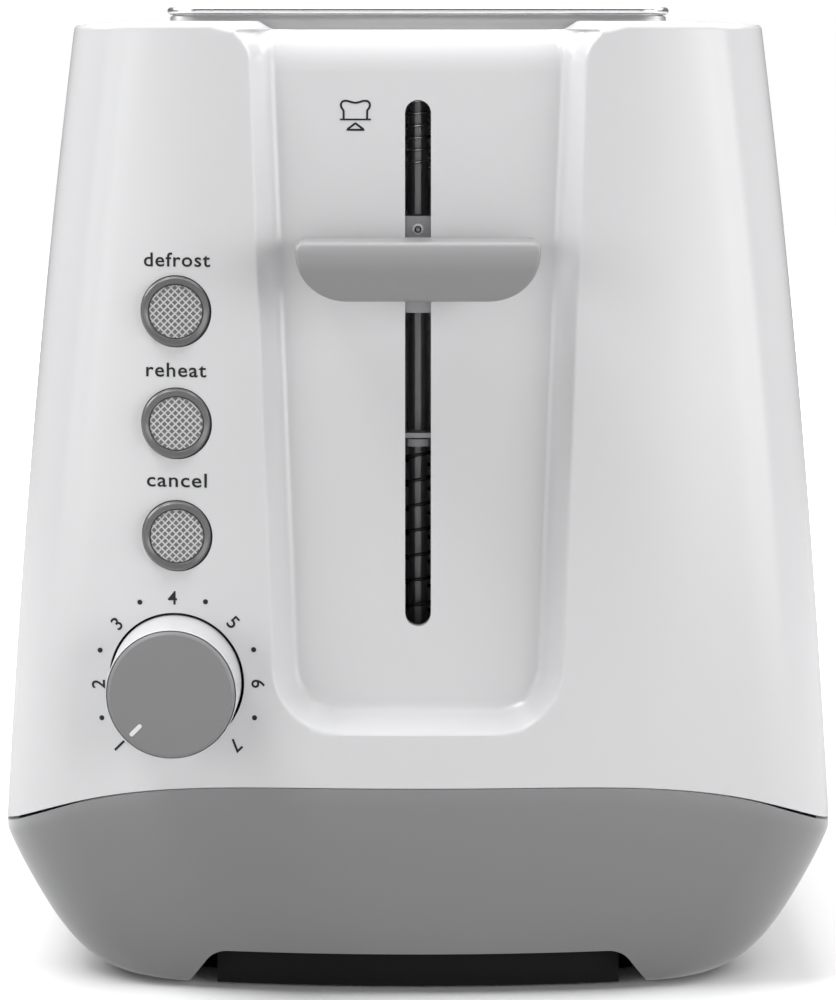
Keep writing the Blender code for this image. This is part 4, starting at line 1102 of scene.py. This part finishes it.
# Front outline: flat top with tight corners, deep rounds at the lower corners.
def leverOutline(low, high):
    half, deep, tight = lever["half"], lever["round"], lever["topRound"]
    turn = np.linspace(0, math.pi / 2, 14)
    tightTurn = np.linspace(0, math.pi / 2, 6)
    topRight = np.stack([half - tight + tight * np.cos(tightTurn),
                         high - tight + tight * np.sin(tightTurn)], -1)
    topLeft = topRight[::-1] * np.array([-1, 1])
    lowRight = np.stack([half - deep + deep * np.sin(turn), low + deep - deep * np.cos(turn)], -1)
    lowLeft = lowRight[::-1] * np.array([-1, 1])
    edge = np.linspace(-1, 1, 20)[1:-1, None]
    top = np.array([[1, 0]]) * -edge * (half - tight) + np.array([[0, high]])
    foot = np.array([[1, 0]]) * edge * (half - deep) + np.array([[0, low]])
    return np.concatenate([topRight, top, topLeft, lowLeft, foot, lowRight])


# Outward direction at each point: the run between its neighbours, turned a quarter
def outlineNormals(outline):
    run = np.roll(outline, -1, 0) - np.roll(outline, 1, 0)
    out = np.stack([run[:, 1], -run[:, 0]], -1)
    return out / np.linalg.norm(out, axis=1, keepdims=True)


makeLever()


dial = {
    "x": -48.75 * mm, "z": 65.7 * mm,
    "foot": 13.3 * mm, "face": 12.95 * mm, "cap": 12.62 * mm, "capBevel": 0.6 * mm,
    "frontY": -143.5 * mm, "footY": -124.0 * mm,
    "pointerAngle": math.radians(225), "pointerAt": 9.9 * mm, "pointerLength": 3.1 * mm,
    "pointerWide": 0.85 * mm, "pointerProud": 0.09 * mm, "pointerDeep": 0.4 * mm,
}


# Turned skirt and cap, with a round-ended pointer turned to its angle
def makeDial():
    d = dial
    centre = (d["x"], d["frontY"], d["z"])
    depth = d["footY"] - d["frontY"]
    skirt = [(0, 1.7 * mm), (d["face"] - 0.3 * mm, 1.7 * mm), (d["face"] - 0.12 * mm, 0.75 * mm),
             (d["face"], 0.9 * mm), (d["face"] + 0.06 * mm, 1.5 * mm),
             (d["foot"], depth - 0.6 * mm), (d["foot"] - 0.4 * mm, depth), (0, depth)]
    body = turnedSurface("dialBody", skirt, centre, (0, 1, 0), 128)
    settle(body, finish["dialSide"], "knob", "white_plastic", "knob_body")
    edge = arcProfile([(0, 0), (d["cap"] - d["capBevel"], 0), (d["cap"], 0.42 * mm),
                       (d["cap"], 1.5 * mm), (0, 1.5 * mm)], 0.12 * mm, 3)
    cap = turnedSurface("dialFace", edge, centre, (0, 1, 0), 128)
    settle(cap, finish["dial"], "knob", "grey_plastic", "knob_face")
    turn = np.linspace(-math.pi / 2, math.pi / 2, 9)
    half, wide = d["pointerLength"] / 2, d["pointerWide"] / 2
    end = np.stack([half - wide + wide * np.cos(turn), wide * np.sin(turn)], -1)
    bar = np.concatenate([end, -end])
    angle = d["pointerAngle"]
    spin = np.array([[math.cos(angle), -math.sin(angle)], [math.sin(angle), math.cos(angle)]])
    at = np.array([d["x"] + d["pointerAt"] * math.cos(angle),
                   d["z"] + d["pointerAt"] * math.sin(angle)])
    mark = extruded("dialPointer", bar @ spin.T + at, d["frontY"] - d["pointerProud"],
                    d["frontY"] + d["pointerDeep"], "Y")
    settle(mark, finish["pointer"], "knob", "bright_wire", "knob_pointer")


button = {
    "x": -48.4 * mm,
    "radius": 7.02 * mm, "lens": 5.3 * mm,
    "ribPitch": 1.04 * mm, "ribHeight": 0.16 * mm, "dome": 0.35 * mm,
    "ribFade": 0.7 * mm,                 # the ribs end over this distance from the lens's edge
    "lensSunk": 0.75 * mm, "lensBack": 3.2 * mm,
}


# A turned ring, and a domed lens whose ribs are the larger of two cosines across each other
def makeButton(word):
    b = button
    low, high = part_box(f"button_ring_{word}")
    z = (low.z + high.z) / 2
    centre = (b["x"], low.y, z)
    ring = arcProfile([(b["lens"] + 0.1 * mm, 3.4 * mm), (b["lens"] + 0.1 * mm, 0.9 * mm),
                       (b["lens"] + 0.3 * mm, 0.35 * mm), (b["radius"] - 0.42 * mm, 0.0 * mm),
                       (b["radius"], 0.55 * mm), (b["radius"], 6.4 * mm), (2 * mm, 6.4 * mm),
                       (2 * mm, high.y - low.y), (0, high.y - low.y)], 0.22 * mm, 4)
    ring = np.concatenate([[(0, 3.4 * mm)], ring])
    cup = turnedSurface(f"buttonRing_{word}", ring, centre, (0, 1, 0), 96)
    settle(cup, finish["ring"], f"button_{word}", "smoked_ring", f"button_ring_{word}")
    radial = np.linspace(0, 1, 70)[1:]
    turn = np.linspace(0, 2 * math.pi, 180, endpoint=False)
    r, a = np.meshgrid(radial * b["lens"], turn, indexing="ij")
    dx, dz = r * np.cos(a), r * np.sin(a)
    u, v = (dx + dz) / math.sqrt(2), (dx - dz) / math.sqrt(2)
    k = 2 * math.pi / b["ribPitch"]
    rib = np.maximum(np.cos(k * (u + latticeShift(b["x"], z, 1))),
                     np.cos(k * (v + latticeShift(b["x"], z, -1))))
    rib = np.clip((rib - 0.1) / 0.7, 0, 1)
    fade = np.clip((b["lens"] - r) / b["ribFade"], 0, 1)
    dome = b["dome"] * (1 - (r / b["lens"]) ** 2)
    y = low.y + b["lensSunk"] - dome - b["ribHeight"] * rib * fade
    top = np.stack([b["x"] + dx, y, z + dz], -1)
    skirt = np.stack([b["x"] + dx[-1], np.full(len(turn), low.y + b["lensBack"]), z + dz[-1]], -1)
    lens = gridObject(f"buttonLens_{word}", np.concatenate([top, skirt[None]]), wrapColumns=True,
                      ends=True, smoothAngle=None)
    settle(tidyNormals(lens, 60), finish["lens"], f"button_{word}", "frosted_lens",
           f"button_lens_{word}")


# Where the ribs' pattern stands at a lens's middle, so that the shape and its painted shade and highlight
# agree.
def latticeShift(x, z, sign):
    return (x + sign * z) / math.sqrt(2)


finish["pointer"] = plastic("pointerWhite", (0.78, 0.78, 0.78), (0.84, 0.84, 0.84), 0.3, 900.0,
                            0.000002)
makeDial()
for word in ("defrost", "reheat", "cancel"):
    makeButton(word)
print("dial and buttons made")


printing = {
    "labels": {"defrost": (-48.13, 150.4, 13.4), "reheat": (-48.4, 128.4, 12.2),  # middle and width
               "cancel": (-48.4, 106.3, 12.2)},
    "labelHeight": 2.85, "labelWeight": 0.035,
    "numbers": [(-60.54, 52.02), (-64.81, 64.43), (-60.88, 76.9), (-49.44, 82.55), (-37.14, 77.92),
                (-32.13, 65.56), (-36.8, 52.92)],
    "numberHeight": 2.75, "numberWeight": 0.03,
    "dots": [(-64.15, 57.53), (-64.39, 71.35), (-56.11, 81.43), (-42.71, 81.92), (-33.0, 72.46),
             (-32.89, 58.66)],
    "dotRadius": 0.52,
    "thick": 0.03 * mm,
    "iconAt": (-12.52, 178.12), "iconLine": 0.42,
}


# Carry flat (x, z, depth) points onto the casing's bowed front.
def onFront(points, proud):
    x, z = points[:, 0], points[:, 1]
    y = frontY(x, z) - proud - points[:, 2]
    return np.stack([x, y, z], -1)


# Carry flat (x, z, depth) points onto the recess floor, which leans back evenly
def onPanel(points, proud):
    x, z = points[:, 0], points[:, 1]
    y = recess["floorY"] + recess["floorLean"] * (z - recess["floorAt"]) - proud - points[:, 2]
    return np.stack([x, y, z], -1)


# Flat lettering as points and faces, made to a height and width, turned and centred on a point
def textPoints(words, height, middle, angle=0.0, width=None, weight=0.0):
    curve = bpy.data.curves.new("lettering", "FONT")
    curve.body = words
    curve.size = height * mm
    curve.extrude = printing["thick"]
    curve.offset = weight * mm
    curve.space_character = 1.1
    curve.resolution_u = 4
    holder = bpy.data.objects.new("lettering", curve)
    bpy.context.scene.collection.objects.link(holder)
    bpy.context.view_layer.update()
    mesh = bpy.data.meshes.new_from_object(holder.evaluated_get(bpy.context.evaluated_depsgraph_get()))
    bpy.data.objects.remove(holder, do_unlink=True)
    points = np.zeros(len(mesh.vertices) * 3)
    mesh.vertices.foreach_get("co", points)
    points = points.reshape(-1, 3)
    faces = [list(p.vertices) for p in mesh.polygons]
    bpy.data.meshes.remove(mesh)
    flat = points[:, :2] - (points[:, :2].max(0) + points[:, :2].min(0)) / 2
    span = flat.max(0) - flat.min(0)
    tall = height * mm / span[1]
    flat = flat * np.array([width * mm / span[0] if width else tall, tall])
    spin = np.array([[math.cos(angle), -math.sin(angle)], [math.sin(angle), math.cos(angle)]])
    flat = flat @ spin.T + np.asarray(middle) * mm
    return np.concatenate([flat, points[:, 2:3]], 1), faces


# One mesh from several flat marks, carried onto a surface
def printObject(name, sets, place):
    points, faces, start = [], [], 0
    for somePoints, someFaces in sets:
        points.append(place(somePoints, printing["thick"]))
        faces += [[i + start for i in face] for face in someFaces]
        start += len(somePoints)
    obj = meshObject(name, np.concatenate(points), faces, None)
    bm = bmesh.new()
    bm.from_mesh(obj.data)
    bmesh.ops.remove_doubles(bm, verts=bm.verts, dist=1e-6)
    bmesh.ops.recalc_face_normals(bm, faces=bm.faces)
    bm.to_mesh(obj.data)
    bm.free()
    return settle(obj, finish["ink"], "root", "black_plastic")


# A thin flat line along a path of (x, z) points, as points and faces.
def strokeSet(path, width, closed):
    path = np.asarray(path, float) * mm
    if closed:
        run = np.roll(path, -1, 0) - np.roll(path, 1, 0)
    else:
        run = np.gradient(path, axis=0)
    side = np.stack([-run[:, 1], run[:, 0]], -1)
    side = side / np.linalg.norm(side, axis=1, keepdims=True) * width * mm / 2
    thick = printing["thick"]
    ring = []
    for shift, depth in ((side, thick), (-side, thick), (-side, -thick), (side, -thick)):
        ring.append(np.concatenate([path + shift, np.full((len(path), 1), depth)], 1))
    grid = np.stack(ring, 1)
    faces = gridFaces(len(path), 4, closed, True).tolist()
    if not closed:
        last = (len(path) - 1) * 4
        faces += [[3, 2, 1, 0], [last, last + 1, last + 2, last + 3]]
    return grid.reshape(-1, 3), faces


# A small flat disc as points and faces
def dotSet(x, z, radius):
    turn = np.linspace(0, 2 * math.pi, 20, endpoint=False)
    loop = np.stack([x + radius * np.cos(turn), z + radius * np.sin(turn)], -1) * mm
    thick = printing["thick"]
    points = np.concatenate([np.concatenate([loop, np.full((20, 1), d)], 1) for d in (-thick, thick)])
    faces = gridFaces(2, 20, wrapColumns=True).tolist() + [list(range(20))[::-1], list(range(20, 40))]
    return points, faces


# Function words, dial numbers and dots on the casing, and the bread mark on the recess floor
def makePrinting():
    p = printing
    for word, (x, z, width) in p["labels"].items():
        printObject(f"label_{word}", [textPoints(word, p["labelHeight"], (x, z), 0, width,
                                                 p["labelWeight"])], onFront)
    marks = []
    for i, at in enumerate(p["numbers"]):
        marks.append(textPoints(str(i + 1), p["numberHeight"], at, math.radians(135 - 45 * i), None,
                                p["numberWeight"]))
    for x, z in p["dots"]:
        marks.append(dotSet(x, z, p["dotRadius"]))
    printObject("dialNumbers", marks, onFront)
    printObject("breadMark", breadMark(*p["iconAt"]), onPanel)
    print("printing made")


# A slice of bread standing on a line, with a small triangle under it
def breadMark(x, z):
    wide = printing["iconLine"]
    half = smoothPath(np.array([(0, 3.3), (0.8, 3.45), (1.7, 3.7), (2.5, 3.6), (2.9, 3.0), (2.75, 2.3),
                                (2.4, 1.8), (2.35, 1.0), (2.35, 0.1)]), 6)
    outline = np.concatenate([(half * np.array([-1, 1]))[::-1][:-1], half]) + np.array([x, z])
    line = np.linspace((x - 3.1, z), (x + 3.1, z), 4)
    lift = np.array([[0, -0.75], [1.75, -2.05], [-1.75, -2.05]]) + np.array([x, z])
    return [strokeSet(outline, wide, False), strokeSet(line, wide * 0.85, False),
            strokeSet(resampled(lift, 8), wide, True)]


# A Catmull-Rom curve through the points.
def smoothPath(points, steps):
    p = np.concatenate([points[:1], points, points[-1:]])
    t = np.linspace(0, 1, steps, endpoint=False)[None, :, None]
    a, b, c, d = (p[i:len(p) - 3 + i, None] for i in range(4))
    curve = 0.5 * (2 * b + (c - a) * t + (2 * a - 5 * b + 4 * c - d) * t ** 2
                   + (3 * b - a - 3 * c + d) * t ** 3)
    return np.concatenate([curve.reshape(-1, 2), points[-1:]])


# Evenly spaced points along each side of a closed outline
def resampled(corners, steps):
    t = np.linspace(0, 1, steps, endpoint=False)[None, :, None]
    ends = np.roll(corners, -1, 0)
    return (corners[:, None] * (1 - t) + ends[:, None] * t).reshape(-1, 2)


makePrinting()


springs = {
    "rod": (0, -104 * mm),
    "lift": {"z": (33.5 * mm, 110.7 * mm), "radius": (7.2 * mm, 4.6 * mm), "turns": 15,
             "wire": 0.35 * mm},
    "buffer": {"z": (167.5 * mm, 187.2 * mm), "radius": (4.2 * mm, 4.2 * mm), "turns": 8,
               "wire": 0.3 * mm},
}


# A helix whose radius runs evenly from its low end to its high end.
def coilPath(z, radius, turns):
    part = np.linspace(0, 1, turns * 36 + 1)
    r = radius[0] + (radius[1] - radius[0]) * part
    angle = part * turns * 2 * math.pi
    x, y = springs["rod"]
    return np.stack([x + r * np.cos(angle), y + r * np.sin(angle), z[0] + (z[1] - z[0]) * part], -1)


# Two coils round the guide rod, each given a mesh of its own
def makeSprings():
    s = springs["lift"]
    lift = tubeObject("liftSpring", [coilPath(s["z"], s["radius"], s["turns"])], s["wire"], 10)
    settle(lift, finish["darkWire"], "root", "bright_wire", "lift_spring")
    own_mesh(lift)
    s = springs["buffer"]
    buffer = tubeObject("bufferSpring", [coilPath(s["z"], s["radius"], s["turns"])], s["wire"], 10)
    settle(buffer, finish["wire"], "root", "bright_wire", "buffer_spring")
    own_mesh(buffer)
    print("springs made")


makeSprings()


guide = {"wire": 0.8 * mm, "uprights": 9, "levels": (46 * mm, 92 * mm)}


# Upright wires at even steps, tied by level wires
def makeBreadGuide(side, place):
    name = f"bread_guide_{side}_{place}"
    low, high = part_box(name)
    x = (low.x + high.x) / 2
    r = guide["wire"]
    across = np.linspace(low.y + r, high.y - r, guide["uprights"])
    up = np.linspace(low.z + r, high.z - r, 9)
    paths = [np.stack([np.full(9, x), np.full(9, y), up], -1) for y in across]
    for z in (low.z + r, high.z - r, *(low.z + level for level in guide["levels"])):
        run = np.linspace(low.y + r, high.y - r, 40)
        paths.append(np.stack([np.full(40, x), run, np.full(40, z)], -1))
    cage = tubeObject(name.replace("bread_guide", "breadGuide"), paths, r, 8)
    settle(cage, finish["wire"], f"guide_{side}_{place}", "bright_wire", name)


heater = {"ribbon": 1.3 * mm, "thick": 0.12 * mm, "turns": 12, "pitch": 9.6 * mm, "first": 9 * mm}


# Flat ribbon wound round the board: level runs on each face, joined over the notched ends.
def makeHeatRibbon(word):
    low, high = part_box(f"heating_element_{word}")
    x = (low.x + high.x) / 2
    h = heater
    half, off = h["ribbon"] / 2, 0.5 * mm + 0.25 * mm
    inset = 1.3 * mm
    loops = []
    for i in range(h["turns"]):
        z = low.z + h["first"] + i * h["pitch"]
        ends = [(x - off, low.y + inset), (x + off, low.y + inset), (x + off, high.y - inset),
                (x - off, high.y - inset)]
        loop = [(*p, z) for p in ends]
        loops.append(np.array(loop))
    points, faces, start = [], [], 0
    for loop in loops:
        out = np.array([[-1, -0.6], [1, -0.6], [1, 0.6], [-1, 0.6]]) * h["thick"]
        rings = []
        for shift, rise in ((0, -half), (1, -half), (1, half), (0, half)):
            ring = loop.copy()
            ring[:, :2] += out * shift
            ring[:, 2] += rise
            rings.append(ring)
        grid = np.stack(rings, 1)
        faces += gridFaces(4, 4, True, True, start).tolist()
        points.append(grid.reshape(-1, 3))
        start += 16
    ribbon = meshObject(f"heatRibbon_{word}", np.concatenate(points), faces, None)
    settle(tidyNormals(ribbon, 30), finish["ribbon"], "root", "mica")


for side in ("left", "right"):
    for place in ("inner", "outer"):
        makeBreadGuide(side, place)
for word in ("left", "centre", "right"):
    makeHeatRibbon(word)
print("guides and heaters made")


tray = {
    "half": 46 * mm, "y": (-62 * mm, 133.4 * mm), "round": 6 * mm,
    "low": 15.5 * mm, "high": 21.3 * mm, "sheet": 0.6 * mm, "roll": 0.6 * mm,
    "faceHalf": 49.9 * mm, "faceZ": (13.7 * mm, 25.0 * mm), "faceThick": 2.0 * mm, "sunk": 0.35 * mm,
    "neckHalf": 40 * mm, "gripHalf": 20 * mm, "gripZ": (17 * mm, 21 * mm), "grip": 1.3 * mm,
}


# Y of the base's rear at a place on its face: the end less the draw and the bow's sagitta
def baseEndY(x, z):
    part = (z - base["low"]) / (seamHeight(x) - base["low"])
    inset = baseDraw(part) * base["inset"][1]
    bowed = casing["bow"] - np.sqrt(casing["bow"] ** 2 - x ** 2)
    return casing["rearY"] - inset - bowed


# A panel between two depths behind the base's rear, over a grid of x and z, closed round its rim
def bowedPanel(name, half, heights, near, thick):
    x = np.linspace(-half, half, 60)
    z = np.linspace(*heights, 12)
    zz, xx = np.meshgrid(z, x, indexing="ij")
    outer = np.stack([xx, baseEndY(xx, zz) - near, zz], -1)
    inner = outer - np.array([0, thick, 0])
    rows, columns = xx.shape
    count = rows * columns
    rim = np.concatenate([np.arange(columns), np.arange(1, rows) * columns + columns - 1,
                          (rows - 1) * columns + np.arange(columns - 1)[::-1],
                          np.arange(1, rows - 1)[::-1] * columns])
    edge = np.stack([rim, np.roll(rim, -1), np.roll(rim, -1) + count, rim + count], -1)
    faces = np.concatenate([gridFaces(rows, columns), gridFaces(rows, columns, start=count)[:, ::-1],
                            edge])
    points = np.concatenate([outer.reshape(-1, 3), inner.reshape(-1, 3)])
    return tidyNormals(meshObject(name, points, faces.tolist(), None), 40)


# A sheet floor, a swept wall with a rolled hem, and a grey face that follows the base's bow
def makeTray():
    t = tray
    loop = roundedLoop(t["half"], *t["y"], t["round"], 10)
    floor = extruded("trayFloor", loop[0], t["low"], t["low"] + t["sheet"])
    turn = np.linspace(0, 1.6 * math.pi, 12)
    hem = np.stack([-t["roll"] + t["roll"] * np.cos(turn), t["high"] + t["roll"] * np.sin(turn)], -1)
    profile = np.concatenate([[(0, t["low"])], hem, [(-t["sheet"], t["high"] - t["roll"]),
                                                     (-t["sheet"], t["low"]), (0, t["low"])]])
    wall = tidyClosed(sweepLoop("trayWall", loop, profile, smoothAngle=None), 40)
    pan = joined("crumbTray", [floor, wall])
    settle(pan, finish["zinc"], "crumb_tray", "zinc_sheet", "crumb_tray")
    face = bowedPanel("trayPlate", t["faceHalf"], t["faceZ"], t["sunk"], t["faceThick"])
    grip = bowedPanel("trayGrip", t["gripHalf"], t["gripZ"], t["sunk"] - t["grip"],
                      t["grip"] + 0.5 * mm)
    x = np.linspace(-t["neckHalf"], t["neckHalf"], 40)
    back = baseEndY(x, t["low"]) - t["sunk"] - t["faceThick"] + 0.4 * mm
    ends = [(t["neckHalf"], t["y"][1] - 3 * mm), (-t["neckHalf"], t["y"][1] - 3 * mm)]
    neck = extruded("trayNeck", np.concatenate([np.stack([x, back], -1), ends]),
                    t["low"] + 0.7 * mm, t["low"] + 3.2 * mm)
    front = joined("crumbTrayFace", [face, grip, neck])
    settle(front, finish["grey"], "crumb_tray", "grey_plastic")


foot = {"shoulder": 0.9 * mm, "dish": 2.6 * mm, "dishDepth": 0.7 * mm}
screw = {"crown": 0.5 * mm, "slot": 0.8 * mm, "reach": 0.6, "slotDepth": 0.8 * mm}


# A turned rubber pad with a soft shoulder and a dished middle, for each foot the frame has
def makeFeet():
    for name in [n for n in nodes if n.startswith("rubber_foot_")]:
        low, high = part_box(name)
        radius, tall = (high.x - low.x) / 2, high.z - low.z
        profile = arcProfile([(0, foot["dishDepth"]), (foot["dish"], foot["dishDepth"]),
                              (foot["dish"] + 0.4 * mm, 0), (radius - foot["shoulder"], 0),
                              (radius, foot["shoulder"]), (radius, tall), (0, tall)], 0.4 * mm, 4)
        pad = turnedSurface(name.replace("rubber_foot", "rubberFoot"), profile,
                            ((low.x + high.x) / 2, (low.y + high.y) / 2, low.z), (0, 0, 1), 48)
        settle(pad, finish["rubber"], "root", "rubber", name)


# A domed head with a cross cut into its underside, for each screw under the base
def makeScrews():
    s = screw
    for name in [n for n in nodes if n.startswith("base_screw_")]:
        low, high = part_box(name)
        x, y = (low.x + high.x) / 2, (low.y + high.y) / 2
        radius, tall = (high.x - low.x) / 2, high.z - low.z
        profile = arcProfile([(0, 0), (radius * 0.72, 0.05 * mm), (radius, s["crown"]), (radius, tall),
                              (0, tall)], 0.5 * mm, 4)
        head = turnedSurface(name.replace("base_screw", "baseScrew"), profile, (x, y, low.z),
                             (0, 0, 1), 40)
        long, thin = radius * s["reach"], s["slot"] / 2
        bars = [extruded("bar", [(x - a, y - b), (x + a, y - b), (x + a, y + b), (x - a, y + b)],
                         low.z - 1 * mm, low.z + min(s["slotDepth"], tall * 0.6))
                for a, b in ((long, thin), (thin, long))]
        settle(cutAway(head, bars), finish["zinc"], "root", "zinc_sheet", name)


gland = {"bore": 3.6 * mm, "flange": 6.3 * mm, "neck": 4.7 * mm, "flangeThick": 1.3 * mm, "long": 9.5 * mm}


# A turned bush with a flange
def makeGland():
    g = gland
    low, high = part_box("cord_gland")
    z = (low.z + high.z) / 2
    profile = [(g["bore"], 0), (g["flange"], 0), (g["flange"], g["flangeThick"]),
               (g["neck"], g["flangeThick"]), (g["neck"], g["long"]), (g["bore"], g["long"]),
               (g["bore"], 0)]
    bush = turnedSurface("cordGland", profile, (0, high.y - 0.02 * mm, z), (0, -1, 0), 64)
    settle(bush, finish["black"], "root", "black_plastic", "cord_gland")


makeTray()
makeGland()
makeFeet()
makeScrews()
print("tray, gland, feet and screws made")


nodeFinish = {
    "black": ["bottom_plate", "contact_block", "dial_potentiometer", "tact_switch_"],
    "zinc": ["chassis_", "heat_shield_", "rod_bracket_", "spring_collar", "carriage_bracket",
             "lever_arm", "latch_armature", "bread_rack_"],
    "wire": ["lever_rivet"],
    "rod": ["guide_rod"],
    "mica": ["heating_element_"],
    "board": ["control_board"],
    "ledLens": ["indicator_led_"],
    "copper": ["electromagnet"],
}


# A finish for each CAD node that shows as it is
def paintNodes():
    for name, starts in nodeFinish.items():
        for nodeName, obj in nodes.items():
            if any(nodeName.startswith(start) for start in starts):
                obj.data.materials.clear()
                obj.data.materials.append(finish[name])
    print("CAD nodes painted")


paintNodes()
